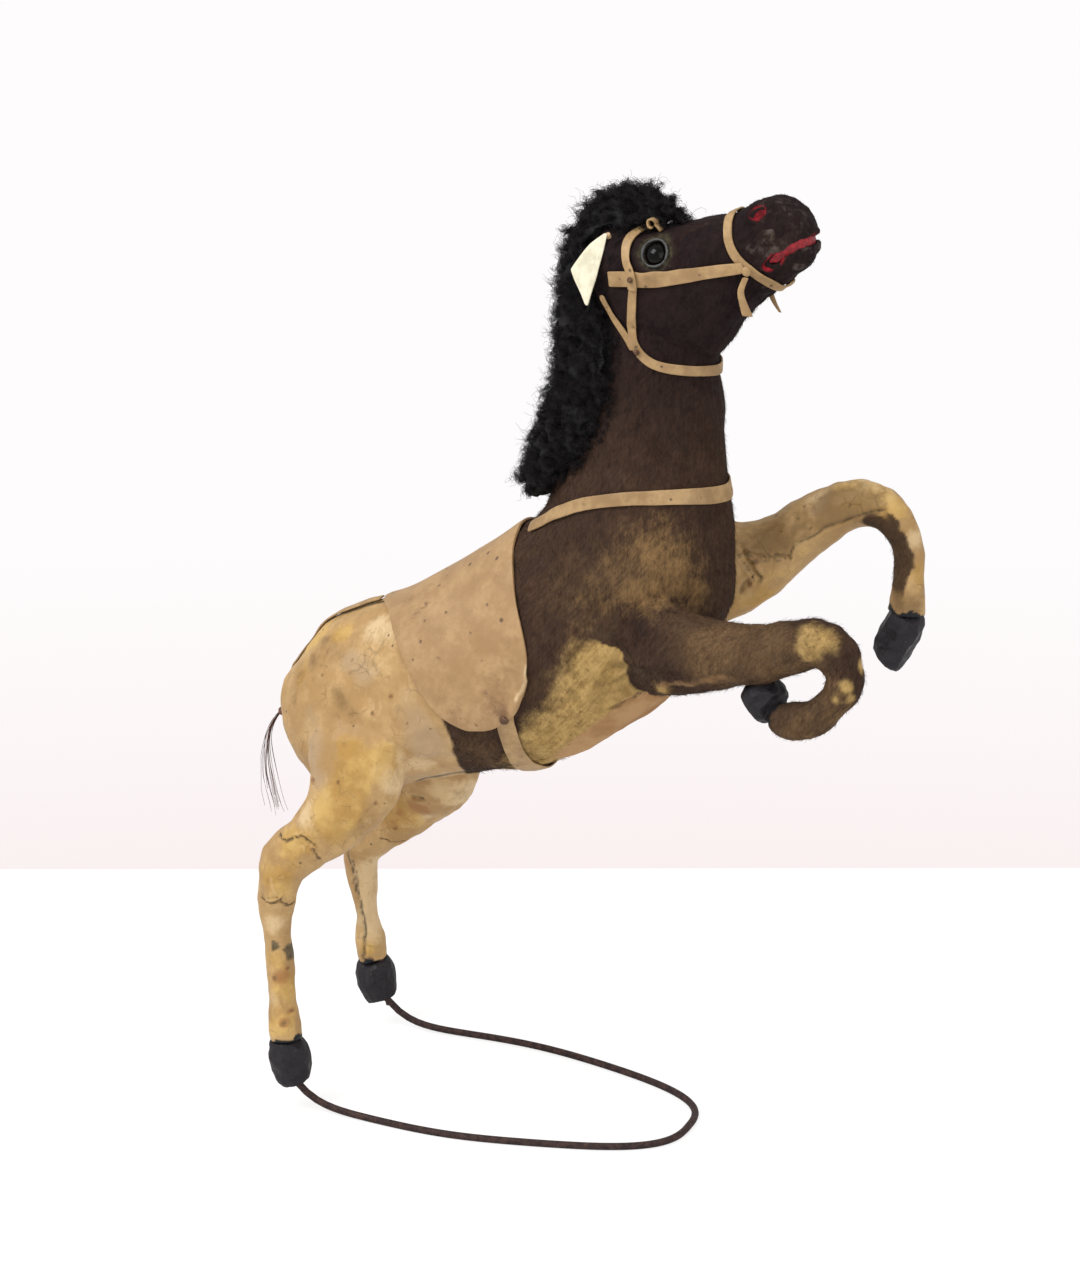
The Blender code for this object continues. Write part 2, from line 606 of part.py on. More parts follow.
def prism(name, outline, half_width, material=None):
    # An outline in the middle plane of the horse, given depth to both sides.
    mesh = bmesh.new()
    right = [mesh.verts.new(at(x, 0, z) - [0, half_width, 0]) for x, z in outline]
    left = [mesh.verts.new(at(x, 0, z) + [0, half_width, 0]) for x, z in outline]
    mesh.faces.new(right)
    mesh.faces.new(left)
    for k in range(len(outline)):
        after = (k + 1) % len(outline)
        mesh.faces.new((right[k], right[after], left[after], left[k]))
    bmesh.ops.triangulate(mesh, faces=mesh.faces)
    return finish_mesh(name, mesh, material, 30)


class Skin:
    # The smooth outside of the whole horse, on which the harness is laid.

    def __init__(self, body, head):
        joined = solid("skin", body)
        combine(joined, solid("skin_head", head), "UNION")
        mesh = bmesh.new()
        mesh.from_mesh(joined.data)
        self.tree = BVHTree.FromBMesh(mesh)
        mesh.free()
        remove(joined)

    def foot(self, point):
        place, normal, _, _ = self.tree.find_nearest(Vector(point))
        place = np.array(place)
        return place, unit(np.array(normal))


def layer_height(layer):
    return LAY_GAP + layer * (STRAP_THICKNESS + LAY_GAP)


def strap_rings(skin, route, width, closed, steps, grow):
    # Six corners at each step: three along the underside and three along the top.
    rows = [(*at(x, y, z), share * width, layer) for x, y, z, share, layer in route]
    if closed:
        rows = rows[-1:] + rows + rows[:2]
    fine = refine(rows, steps)
    if closed:
        fine = fine[steps:-steps - 1]
    feet = [skin.foot(row[:3]) for row in fine]
    places = np.array([place for place, _ in feet])
    if closed:
        headings = np.roll(places, -1, axis=0) - np.roll(places, 1, axis=0)
    else:
        headings = np.gradient(places, axis=0)
        places[0] -= unit(headings[0]) * grow
        places[-1] += unit(headings[-1]) * grow
    rings = []
    for place, (_, normal), heading, row in zip(places, feet, headings, fine):
        across = unit(np.cross(normal, heading))
        low = []
        high = []
        for side in (-0.5, 0.0, 0.5):
            edge, out = skin.foot(place + across * side * (row[3] + 2 * grow))
            out = unit(out + normal)
            base = edge + out * (layer_height(row[4]) - grow)
            low.append(base)
            high.append(base + out * (STRAP_THICKNESS + 2 * grow))
        rings.append(low + high[::-1])
    return np.array(rings)


def strap(name, skin, route, width, closed, steps, material=None, grow=0.0):
    rings = strap_rings(skin, route, width, closed, steps, grow)
    mesh = bmesh.new()
    loops = add_grid(mesh, rings, not closed, not closed)
    if closed:
        bridge(mesh, loops[-1], loops[0])
    return finish_mesh(name, mesh, material, 50)


def mirrored(place):
    return (place[0], -place[1], *place[2:])


def both_sides(route):
    # A route that starts at the right, crosses the middle plane at its last point and ends
    # at the left.
    return tuple(route) + tuple(mirrored(row) for row in route[-2::-1])


def hoof_rows(leg_row, sole):
    # Rings from the end of a leg to its sole, turning steadily from one's slope to the other's.
    start, heading, _, _ = leg_row
    start = start + heading * FIT_GAP
    length = np.linalg.norm(sole - start)
    middle = start + heading * length * HOOF_BEND
    rows = []
    for share, depth, width in HOOF_PROFILE:
        centre = lerp(lerp(start, middle, share), lerp(middle, sole, share), share)
        slope = unit(lerp(middle - start, sole - middle, share))
        rows.append((centre, slope, depth * MM, width * MM))
    return rows


def sole_place(sole, side, spacing):
    x, inset, z = sole
    return at(x, 0, z) + [0, side * (spacing / 2 - inset * MM), 0]


def make_legs(materials, body_grown):
    # Each leg is cut into the pieces that its cracks and folds show.
    hind = (("thigh", "pale_hide"), ("hock", "pale_hide"), ("cannon", "pale_hide"))
    fore_right = (("forearm", "dark_hide"), ("shin", "dark_hide"))
    fore_left = (("forearm", "pale_hide"), ("shin", "dark_hide"))
    plans = (
        ("right", HOOF_SPACING, HIND_RIGHT, hind, (HOCK_TOP_RIGHT, HOCK_END_RIGHT), "hoof_hind",
         SOLE_HIND_RIGHT),
        ("left", HOOF_SPACING, HIND_LEFT, hind, (HOCK_TOP_LEFT, HOCK_END_LEFT), "hoof_hind",
         SOLE_HIND_LEFT),
        ("right", FORE_SPACING, FORE_RIGHT, fore_right, (KNEE_RIGHT,), "hoof_fore", SOLE_FORE_RIGHT),
        ("left", FORE_SPACING, FORE_LEFT, fore_left, (KNEE_LEFT,), "hoof_fore", SOLE_FORE_LEFT),
    )
    pieces = {}
    for side_name, spacing, stations, spans, cuts, hoof, sole in plans:
        side = -1 if side_name == "right" else 1
        for (kind, hide), start, end in zip(spans, (0.0, *cuts), (*cuts, None)):
            rows = limb_rows(stations, side, spacing, 2, start, end)
            grid = limb_grid(rows, LIMB_SIDES, FIT_GAP / 2 if start else 0.0, FIT_GAP / 2 if end else 0.0)
            name = f"{kind}_{side_name}"
            pieces[name] = solid(name, grid, materials[hide])
            if not start:
                combine(pieces[name], body_grown, keep_tool=True)
                keep_largest(pieces[name])
        name = f"{hoof}_{side_name}"
        grid = limb_grid(hoof_rows(rows[-1], sole_place(sole, side, spacing)), LIMB_SIDES)
        pieces[name] = solid(name, grid, materials["hoof_paint"])
    return pieces


def make_leg_wires(pieces, materials):
    # A straight wire up through each hind hoof into its cannon, in a bore of its own.
    for side_name, side, stations in (("right", -1, HIND_RIGHT), ("left", 1, HIND_LEFT)):
        foot = np.array([HINGE_AHEAD - ORIGIN_AHEAD, side * HOOF_SPACING / 2, SOLE_HEIGHT])
        fine = refine(stations, 8)
        level = fine[np.argmin(np.abs(fine[:, 2] * MM - LEG_WIRE_LENGTH))]
        top = at(level[0], 0, level[2]) + [0, side * (HOOF_SPACING / 2 - level[1] * MM), 0]
        heading = unit(top - foot)
        top = foot + heading * LEG_WIRE_LENGTH
        radius = WIRE_DIAMETER / 2
        name = f"leg_wire_{side_name}"
        pieces[name] = cylinder(name, foot, top, radius, 10, materials["wire"])
        for target in (f"hoof_hind_{side_name}", f"cannon_{side_name}", f"hock_{side_name}"):
            bore = cylinder("bore", foot - heading * BORE_LEAD, top + heading * FIT_GAP,
                            radius + FIT_GAP, 10)
            combine(pieces[target], bore)


def make_dowel(name, start, end, targets, pieces, materials):
    pieces[name] = cylinder(name, start, end, DOWEL_DIAMETER / 2, 12, materials["wood"])
    heading = unit(end - start) * FIT_GAP
    for target in targets:
        bore = cylinder("bore", start - heading, end + heading, DOWEL_DIAMETER / 2 + FIT_GAP, 12)
        combine(pieces[target], bore)


def make_dowels(pieces, materials):
    across = np.array([0, 1, 0])
    plans = (
        ("hip_dowel", HIP, HIP_DOWEL_SHORT, ("body_core", "body_hide", "thigh_right", "thigh_left")),
        ("shoulder_dowel", SHOULDER, SHOULDER_DOWEL_SHORT,
         ("neck_core", "body_hide", "forearm_right", "forearm_left")),
    )
    for name, place, short, targets in plans:
        reach = across * (BARREL_WIDTH - short) / 2
        make_dowel(name, at(*place) - reach, at(*place) + reach, targets, pieces, materials)
    make_dowel("neck_dowel", at(*NECK_DOWEL_LOW), at(*NECK_DOWEL_TOP), ("body_core", "neck_core", "head"),
               pieces, materials)


def make_body(pieces, body, head, head_room, materials):
    # A hide drawn over a wooden core in two lengths, with the head set into the neck's end.
    inner = sagittal_grid(BODY_STATIONS, BARREL_WIDTH, BODY_SIDES, 1)
    core = swell(inner, -HIDE_THICKNESS - FIT_GAP)
    neck = core[NECK_START:].copy()
    step = neck[1] - neck[0]
    neck[0] += FIT_GAP * step / np.linalg.norm(step, axis=1, keepdims=True)
    pieces["body_hide"] = shell("body_hide", body, swell(inner, -HIDE_THICKNESS), materials["dark_hide"])
    pieces["body_core"] = solid("body_core", core[:NECK_START + 1], materials["wood"])
    pieces["neck_core"] = solid("neck_core", neck, materials["wood"])
    pieces["head"] = solid("head", head, materials["dark_hide"])
    for name in ("body_hide", "neck_core"):
        combine(pieces[name], head_room, keep_tool=True)


def make_eyes(pieces, skin, materials):
    radius = EYE_DIAMETER / 2
    for side_name, place in (("right", EYE_PLACE), ("left", mirrored(EYE_PLACE))):
        spot, out = skin.foot(at(*place))
        centre = spot - out * (radius - EYE_STAND_OUT)
        socket = ball("socket", centre, [radius + FIT_GAP] * 3)
        combine(pieces["head"], socket)
        name = f"eye_{side_name}"
        pieces[name] = ball(name, centre, [radius] * 3, material=materials["glass"])
        rings = []
        first = unit(np.cross(out, [0, 0, 1]))
        second = np.cross(out, first)
        for turn in np.arange(EYE_RING_SIDES) * 2 * math.pi / EYE_RING_SIDES:
            ray = first * math.cos(turn) + second * math.sin(turn)
            foot, _ = skin.foot(spot + ray * radius)
            depth = (foot - spot) @ out
            glass = math.sqrt(radius ** 2 - (radius - EYE_STAND_OUT + depth) ** 2)
            base = spot + ray * (glass + EYE_RING_GAP) + out * (depth + FIT_GAP)
            wide = ray * EYE_RING_WIDTH
            tall = out * EYE_RING_HEIGHT
            rings.append([base, base + wide, base + wide + tall, base + tall])
        mesh = bmesh.new()
        loops = add_grid(mesh, np.array(rings), False, False)
        bridge(mesh, loops[-1], loops[0])
        name = f"eye_ring_{side_name}"
        pieces[name] = finish_mesh(name, mesh, materials["dark_hide"], 50)


def inset(outline, distance):
    # The same outline with every edge moved in, for one drawn anticlockwise.
    points = np.array(outline)
    before = points - np.roll(points, 1, axis=0)
    after = np.roll(points, -1, axis=0) - points
    moved = []
    for point, first, second in zip(points, before, after):
        first = unit(first)
        second = unit(second)
        turned_first = np.array([-first[1], first[0]])
        turned_second = np.array([-second[1], second[0]])
        bisector = unit(turned_first + turned_second)
        moved.append(point + bisector * distance / max(bisector @ turned_first, 0.3))
    return moved


def make_mouth(pieces, head, materials):
    combine(pieces["head"], prism("slot", MOUTH_OUTLINE, HEAD_WIDTH))
    lining = prism("mouth_lining", inset(MOUTH_OUTLINE, FIT_GAP / MM), HEAD_WIDTH / 2, materials["mouth_red"])
    combine(lining, solid("lips", swell(head, -MOUTH_RECESS)), "INTERSECT")
    pieces["mouth_lining"] = lining
    for place in (NOSTRIL_PLACE, mirrored(NOSTRIL_PLACE)):
        size = NOSTRIL_DIAMETER / 2
        combine(pieces["head"], ball("pit", at(*place), [size * 1.2, size, size], 6, 10))


def ear_grid(side, grow=0.0):
    # A leaf that hangs from its root: four corners at each station of its outline.
    root = at(*EAR_ROOT) * [1, side * -1, 1]
    tip = at(*EAR_TIP) * [1, side * -1, 1]
    down = unit(tip - root)
    flat = unit(np.cross(down, [0, 1, 0]))
    back = flat if flat[0] < 0 else -flat
    out = np.cross(back, down)
    out = out if out[1] * side > 0 else -out
    half = EAR_THICKNESS / 2 + grow
    rings = []
    for share, behind, before in EAR_OUTLINE:
        centre = root + down * share * EAR_LENGTH
        centre = centre + down * grow * (2 * share - 1)
        rear = centre + back * (behind * EAR_WIDTH + grow)
        front = centre - back * (before * EAR_WIDTH + grow)
        rings.append([rear + out * half, front + out * half, front - out * half, rear - out * half])
    return np.array(rings)


def ear_peg(name, skin, side, grow=0.0, material=None):
    # A round peg from inside the head to just under the root of an ear.
    root = at(*EAR_ROOT) * [1, -side, 1]
    foot, out = skin.foot(root)
    inside = foot - out * EAR_PEG_LENGTH
    heading = unit(root - inside)
    end = root - heading * (EAR_THICKNESS / 2 + FIT_GAP * 2)
    return cylinder(name, inside - heading * grow, end + heading * grow, EAR_PEG_DIAMETER / 2 + grow, 8,
                    material)


def make_ears(pieces, skin, materials):
    for side_name, side in (("right", -1), ("left", 1)):
        name = f"ear_{side_name}"
        pieces[name] = solid(name, ear_grid(side), materials["ear_leather"])
        name = f"ear_peg_{side_name}"
        pieces[name] = ear_peg(name, skin, side, material=materials["wood"])
        combine(pieces["head"], ear_peg("bore", skin, side, FIT_GAP))


def make_mane(pieces, skin, tools, materials):
    mane = solid("mane", sagittal_grid(MANE_STATIONS, MANE_WIDTH, 16, 1), materials["wool"])
    for tool in tools:
        combine(mane, tool, keep_tool=True)
    for side in (-1, 1):
        combine(mane, solid("room", ear_grid(side, EAR_ROOM)))
        combine(mane, ear_peg("room", skin, side, FIT_GAP))
        root = at(*EAR_ROOT) * [1, -side, 1]
        combine(mane, ball("room", root, [EAR_ROOT_ROOM] * 3, 6, 8))
    for name, *layout in straps():
        if name in MANE_STRAPS:
            combine(mane, strap("room", skin, *layout, grow=FIT_GAP))
    keep_largest(mane)
    pieces["mane"] = mane


def tail_heading():
    return unit(at(*TAIL_PLUG_AIM) - at(*TAIL_ROOT))


def tail_pivot_place():
    # The middle of the binding, behind the end of the plug.
    return at(*TAIL_ROOT) + tail_heading() * (TAIL_PLUG_LENGTH + FIT_GAP + TAIL_BINDING_LENGTH / 2)


def make_tail(pieces, materials):
    heading = tail_heading()
    start = at(*TAIL_ROOT)
    end = start + heading * TAIL_PLUG_LENGTH
    radius = TAIL_PLUG_DIAMETER / 2
    pieces["tail_plug"] = cylinder("tail_plug", start, end, radius, 10, materials["wood"])
    for target in ("body_hide", "body_core"):
        combine(pieces[target], cylinder("bore", start - heading * FIT_GAP, end, radius + FIT_GAP, 10))
    size = TAIL_BINDING_LENGTH / 2
    middle = tail_pivot_place()
    pieces["tail_binding"] = ball("tail_binding", middle, [size] * 3, 8, 12, materials["tail_hair"])
    hair = [(*at(x, 0, z), share) for x, z, share in TAIL_ROUTE]
    down = unit(np.array(hair[0][:3]) - middle)
    rows = [(*(middle + down * (size + FIT_GAP)), TAIL_ROUTE[0][2])] + hair
    fine = refine(rows, 2)
    grid = []
    for row, heading in zip(fine, np.gradient(fine[:, :3], axis=0)):
        across = np.array([0, 1, 0])
        fore = np.cross(across, unit(heading))
        reach = row[3] * TAIL_HAIR_DIAMETER / 2
        grid.append([row[:3] + reach * (fore * math.cos(t) + across * math.sin(t))
                     for t in np.arange(8) * math.pi / 4])
    pieces["tail_hair"] = solid("tail_hair", np.array(grid), materials["tail_hair"])


def make_saddle(pieces, skin, materials):
    # One sheet over the back. It lies over the girth strap's ends near its front corners.
    right = refine(SADDLE_ROWS, 2)
    rows = [row * [1, -1, 1, 1, -1, 1] for row in right[:0:-1]] + list(right)
    low = []
    high = []
    stud = at(*GIRTH_STUD)
    for row in rows:
        front = at(*row[:3])
        rear = at(*row[3:])
        low.append([])
        high.append([])
        for share in np.linspace(0, 1, SADDLE_COLUMNS + 1):
            point = lerp(front, rear, share)
            place, out = skin.foot(point)
            from_girth = np.linalg.norm((place - stud * [1, math.copysign(1, -place[1]), 1])[[0, 2]])
            lift = 1 / (1 + math.exp((from_girth - GIRTH_LAP) / GIRTH_LAP_SLOPE))
            base = place + out * layer_height(lift)
            low[-1].append(base)
            high[-1].append(base + out * SADDLE_THICKNESS)
    mesh = bmesh.new()
    under = [[mesh.verts.new(p) for p in row] for row in low]
    over = [[mesh.verts.new(p) for p in row] for row in high]
    for sheet in (under, over):
        for near, far in zip(sheet, sheet[1:]):
            for k in range(SADDLE_COLUMNS):
                mesh.faces.new((near[k], near[k + 1], far[k + 1], far[k]))
    for i in range(len(rows) - 1):
        for k in (0, SADDLE_COLUMNS):
            mesh.faces.new((under[i][k], under[i + 1][k], over[i + 1][k], over[i][k]))
    for k in range(SADDLE_COLUMNS):
        for i in (0, len(rows) - 1):
            mesh.faces.new((under[i][k], under[i][k + 1], over[i][k + 1], over[i][k]))
    pieces["saddle"] = finish_mesh("saddle", mesh, materials["leather"], 50)


def peg(name, skin, place, lift, diameter, height, material):
    # A small round head that stands square to the skin.
    foot, out = skin.foot(at(*place))
    base = foot + out * lift
    return cylinder(name, base, base + out * height, diameter / 2, 10, material, diameter * HEAD_TAPER / 2)


def straps():
    # Every strap: name, route, width, whether it is a closed ring, and the pieces of strap
    # between two points of its route.
    left = [[mirrored(row) for row in route] for route in (CHEEK_ROUTE, POLL_ROUTE)]
    ring = list(NOSE_ROUTE) + [mirrored(row) for row in NOSE_ROUTE[-2:0:-1]]
    return (
        ("cheek_strap_right", CHEEK_ROUTE, CHEEK_STRAP_WIDTH, False, 2),
        ("cheek_strap_left", left[0], CHEEK_STRAP_WIDTH, False, 2),
        ("poll_strap_right", POLL_ROUTE, BRIDLE_STRAP_WIDTH, False, 2),
        ("poll_strap_left", left[1], BRIDLE_STRAP_WIDTH, False, 2),
        ("noseband", ring, BRIDLE_STRAP_WIDTH, True, 3),
        ("browband", both_sides(BROW_ROUTE), BRIDLE_STRAP_WIDTH, False, 2),
        ("throat_lash", both_sides(LASH_ROUTE), BRIDLE_STRAP_WIDTH, False, 2),
        ("breast_strap", both_sides(BREAST_ROUTE), BREAST_STRAP_WIDTH, False, 2),
        ("crupper_strap", CRUPPER_ROUTE, CRUPPER_WIDTH, False, 2),
        ("girth_strap", both_sides(GIRTH_ROUTE), GIRTH_WIDTH, False, 2),
    )


def make_harness(pieces, skin, materials):
    leather = materials["leather"]
    for name, *layout in straps():
        pieces[name] = strap(name, skin, *layout, leather)
    metal = materials["brown_metal"]
    over_saddle = layer_height(1) + SADDLE_THICKNESS + FIT_GAP
    fasteners = (
        ("cheek_tack", CHEEK_CROSSING, layer_height(2), TACK_DIAMETER, TACK_HEIGHT),
        ("throat_tack", THROAT_JUNCTION, layer_height(1), TACK_DIAMETER, TACK_HEIGHT),
        ("girth_stud", GIRTH_STUD, over_saddle, STUD_DIAMETER, STUD_HEIGHT),
    )
    for side_name, turn in (("right", tuple), ("left", mirrored)):
        for kind, place, lift, diameter, height in fasteners:
            name = f"{kind}_{side_name}"
            pieces[name] = peg(name, skin, turn(place), lift, diameter, height, metal)
        foot, out = skin.foot(at(*turn(BIT_KNOT)))
        size = KNOT_DIAMETER / 2
        centre = foot + out * (layer_height(1) + size * KNOT_FLATNESS)
        name = f"bit_knot_{side_name}"
        pieces[name] = ball(name, centre, [size, size * KNOT_FLATNESS, size], 6, 10, leather)


def make_stubs(pieces, materials):
    # The cut ends of the reins, hanging from the knots beside the mouth.
    half = STRAP_THICKNESS / 2
    for name, route in (("rein_stub_right", STUB_RIGHT), ("rein_stub_left", STUB_LEFT)):
        rings = []
        for x, y, z, width in refine(route, 3):
            centre = at(x, y, z)
            reach = width * MM
            rings.append([centre + [-reach, -half, 0], centre + [reach, -half, 0],
                          centre + [reach, half, 0], centre + [-reach, half, 0]])
        pieces[name] = solid(name, np.array(rings), materials["leather"])


def pivot(name, place, parent=None):
    empty = bpy.data.objects.new(name, None)
    bpy.context.scene.collection.objects.link(empty)
    empty.empty_display_size = PIVOT_SHOWN
    empty.parent = parent
    empty.location = Vector(place)
    if parent:
        empty.location = parent.matrix_world.inverted() @ empty.location
    bpy.context.view_layer.update()
    return empty


def hang(thing, parent):
    # Parents a piece whose mesh is still in the model's frame: its own origin goes to its
    # middle, and it stays where it is.
    corners = np.array([vertex.co for vertex in thing.data.vertices])
    middle = Vector((corners.min(axis=0) + corners.max(axis=0)) / 2)
    thing.data.transform(Matrix.Translation(-middle))
    thing.parent = parent
    thing.location = parent.matrix_world.inverted() @ middle


def main():
    for thing in list(bpy.data.objects):
        bpy.data.objects.remove(thing)
    materials = make_materials()

    body = sagittal_grid(BODY_STATIONS, BARREL_WIDTH, BODY_SIDES, 2)
    head = sagittal_grid(HEAD_STATIONS, HEAD_WIDTH, HEAD_SIDES, 2, HEAD_SQUARENESS)
    skin = Skin(sagittal_grid(BODY_STATIONS, BARREL_WIDTH, 2 * BODY_SIDES, 2),
                sagittal_grid(HEAD_STATIONS, HEAD_WIDTH, 2 * HEAD_SIDES, 2, HEAD_SQUARENESS))
    body_room = solid("body_room", swell(body, FIT_GAP))
    head_room = solid("head_room", swell(head, FIT_GAP))

    pieces = make_legs(materials, body_room)
    make_body(pieces, body, head, head_room, materials)
    make_leg_wires(pieces, materials)
    make_dowels(pieces, materials)
    make_eyes(pieces, skin, materials)
    make_mouth(pieces, head, materials)
    make_ears(pieces, skin, materials)
    make_mane(pieces, skin, (body_room, head_room), materials)
    make_tail(pieces, materials)
    make_harness(pieces, skin, materials)
    make_saddle(pieces, skin, materials)
    make_stubs(pieces, materials)
    remove(body_room)
    remove(head_room)

    stand = solid("stand_wire", tube_grid(wire_path(), WIRE_DIAMETER / 2, WIRE_SIDES, True),
                  materials["wire"])
    base = pivot("stand", (0, 0, 0))
    hang(stand, base)
    horse = pivot("horse_pivot", (HINGE_AHEAD - ORIGIN_AHEAD, 0, SOLE_HEIGHT - FIT_GAP), base)
    tail = pivot("tail_sway_pivot", tail_pivot_place(), horse)
    moving = {
        "tail_binding": tail,
        "tail_hair": pivot("tail_lift_pivot", tail_pivot_place(), tail),
        "ear_right": pivot("ear_right_pivot", at(*EAR_ROOT), horse),
        "ear_left": pivot("ear_left_pivot", at(*mirrored(EAR_ROOT)), horse),
        "rein_stub_right": pivot("rein_stub_right_pivot", at(*STUB_RIGHT[0][:3]), horse),
        "rein_stub_left": pivot("rein_stub_left_pivot", at(*STUB_LEFT[0][:3]), horse),
    }
    for name, thing in pieces.items():
        hang(thing, moving.get(name, horse))


main()
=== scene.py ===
# The looks of an old toy horse: worn hide over wood, curly wool, glass eyes, a leather bridle
# and saddle, and a stand of springy wire. In metres: +X is forwards and +Y is the horse's left.

import json
import math
import bpy
import bmesh
import numpy as np
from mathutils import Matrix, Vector
from mathutils.bvhtree import BVHTree

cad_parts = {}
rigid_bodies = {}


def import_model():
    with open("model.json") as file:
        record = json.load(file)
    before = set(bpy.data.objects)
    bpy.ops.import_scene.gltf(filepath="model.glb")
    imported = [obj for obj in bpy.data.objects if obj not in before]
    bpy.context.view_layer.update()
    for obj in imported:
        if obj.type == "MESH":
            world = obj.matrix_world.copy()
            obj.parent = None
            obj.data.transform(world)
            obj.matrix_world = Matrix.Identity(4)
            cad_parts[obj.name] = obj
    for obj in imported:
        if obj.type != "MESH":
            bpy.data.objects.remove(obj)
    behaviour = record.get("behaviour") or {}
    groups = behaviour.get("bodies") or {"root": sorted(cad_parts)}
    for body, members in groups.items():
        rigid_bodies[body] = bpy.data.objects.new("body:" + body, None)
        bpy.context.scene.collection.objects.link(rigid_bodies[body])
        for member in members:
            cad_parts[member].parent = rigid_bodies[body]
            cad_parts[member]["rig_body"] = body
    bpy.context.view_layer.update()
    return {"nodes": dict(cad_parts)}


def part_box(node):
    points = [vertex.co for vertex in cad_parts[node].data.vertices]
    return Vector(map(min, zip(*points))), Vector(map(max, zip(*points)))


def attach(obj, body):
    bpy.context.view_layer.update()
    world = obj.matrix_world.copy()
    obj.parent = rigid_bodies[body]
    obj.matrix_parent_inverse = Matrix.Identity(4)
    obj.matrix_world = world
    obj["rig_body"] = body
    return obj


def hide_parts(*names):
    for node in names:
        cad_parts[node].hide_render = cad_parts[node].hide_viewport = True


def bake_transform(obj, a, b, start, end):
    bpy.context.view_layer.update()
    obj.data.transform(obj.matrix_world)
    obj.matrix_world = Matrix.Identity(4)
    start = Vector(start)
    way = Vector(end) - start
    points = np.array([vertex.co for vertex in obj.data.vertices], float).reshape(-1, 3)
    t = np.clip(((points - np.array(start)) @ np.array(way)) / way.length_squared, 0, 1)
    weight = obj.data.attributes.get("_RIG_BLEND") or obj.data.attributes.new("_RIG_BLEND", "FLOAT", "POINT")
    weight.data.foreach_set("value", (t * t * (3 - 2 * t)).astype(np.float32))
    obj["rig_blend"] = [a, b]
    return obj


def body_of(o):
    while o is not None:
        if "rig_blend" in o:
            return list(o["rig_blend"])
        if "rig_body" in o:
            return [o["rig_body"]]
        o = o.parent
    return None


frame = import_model()
mm = 0.001


# Shader nodes

class Level:
    # A socket that carries a number, so that masks are written as sums and products.
    def __init__(self, finish, socket):
        self.finish = finish
        self.socket = socket

    def maths(self, operation, first, second):
        node = self.finish.add("Math", {"operation": operation}, {0: first, 1: second})
        return Level(self.finish, node.outputs[0])

    def __add__(self, other):
        return self.maths("ADD", self, other)

    def __radd__(self, other):
        return self.maths("ADD", other, self)

    def __sub__(self, other):
        return self.maths("SUBTRACT", self, other)

    def __rsub__(self, other):
        return self.maths("SUBTRACT", other, self)

    def __mul__(self, other):
        return self.maths("MULTIPLY", self, other)

    def __rmul__(self, other):
        return self.maths("MULTIPLY", other, self)


class Finish:
    # One procedural material on a Principled shader.
    def __init__(self, name, **constants):
        self.material = bpy.data.materials.new(name)
        self.material.use_nodes = True
        self.tree = self.material.node_tree
        self.shader = self.tree.nodes["Principled BSDF"]
        self.place = self.add("TexCoord").outputs["Object"]
        for socketName, value in constants.items():
            self.shader.inputs[socketName.replace("_", " ")].default_value = value

    def feed(self, socket, value):
        if isinstance(value, Level):
            value = value.socket
        if isinstance(value, bpy.types.NodeSocket):
            self.tree.links.new(value, socket)
        elif isinstance(value, tuple) and len(value) == 3 and socket.type == "RGBA":
            socket.default_value = (*value, 1)
        else:
            socket.default_value = value

    def add(self, kind, settings=None, sockets=None):
        node = self.tree.nodes.new("ShaderNode" + kind)
        for key, value in (settings or {}).items():
            setattr(node, key, value)
        for key, value in (sockets or {}).items():
            self.feed(node.inputs[key], value)
        return node

    def mix(self, share, first, second):
        return self.add("Mix", {"data_type": "RGBA"}, {0: share, 6: first, 7: second}).outputs[2]

    def stretch(self, *factors, tilt=0):
        # The place times a factor for each axis, after a tilt in degrees in the horse's middle plane.
        place = self.place
        if tilt:
            sockets = {0: place, "Angle": math.radians(tilt)}
            place = self.add("VectorRotate", {"rotation_type": "Y_AXIS"}, sockets).outputs[0]
        return self.add("VectorMath", {"operation": "MULTIPLY"}, {0: place, 1: factors}).outputs[0]

    def noise(self, size, detail=3.0, roughness=0.5, place=None, warp=0.0):
        sockets = {"Vector": place or self.place, "Scale": 1 / size, "Detail": detail,
                   "Roughness": roughness, "Distortion": warp}
        return Level(self, self.add("TexNoise", None, sockets).outputs["Fac"])

    def cells(self, size, feature):
        sockets = {"Vector": self.place, "Scale": 1 / size}
        return Level(self, self.add("TexVoronoi", {"feature": feature}, sockets).outputs["Distance"])

    def painted(self, name):
        return Level(self, self.add("Attribute", {"attribute_name": name}).outputs["Fac"])

    def step(self, level, low, high):
        # 0 below low, 1 above high and smooth between. It falls where low is the larger one.
        sockets = {"Value": level, "From Min": low, "From Max": high}
        return Level(self, self.add("MapRange", {"interpolation_type": "SMOOTHSTEP"}, sockets).outputs[0])

    def bump(self, height, depth):
        return self.add("Bump", None, {"Strength": 1.0, "Distance": depth, "Height": height}).outputs[0]

    def set(self, **sockets):
        for key, value in sockets.items():
            self.feed(self.shader.inputs[key.replace("_", " ")], value)
        return self.material


# Meshes

def linked(name, data):
    thing = bpy.data.objects.new(name, data)
    bpy.context.scene.collection.objects.link(thing)
    return thing


def meshFrom(work, name):
    # A bmesh becomes a new mesh and is freed.
    mesh = bpy.data.meshes.new(name)
    work.to_mesh(mesh)
    work.free()
    return mesh


def newPiece(name, vertices, faces, material, body, replaces=()):
    mesh = bpy.data.meshes.new(name)
    mesh.from_pydata([tuple(v) for v in vertices], [], [tuple(int(i) for i in f) for f in faces])
    mesh.validate()
    mesh.shade_smooth()
    return dress(linked(name, mesh), material, body, replaces)


def dress(thing, material, body, replaces=()):
    thing.data.materials.clear()
    thing.data.materials.append(material)
    if body:
        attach(thing, body)
    if replaces:
        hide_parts(*replaces)
    return thing


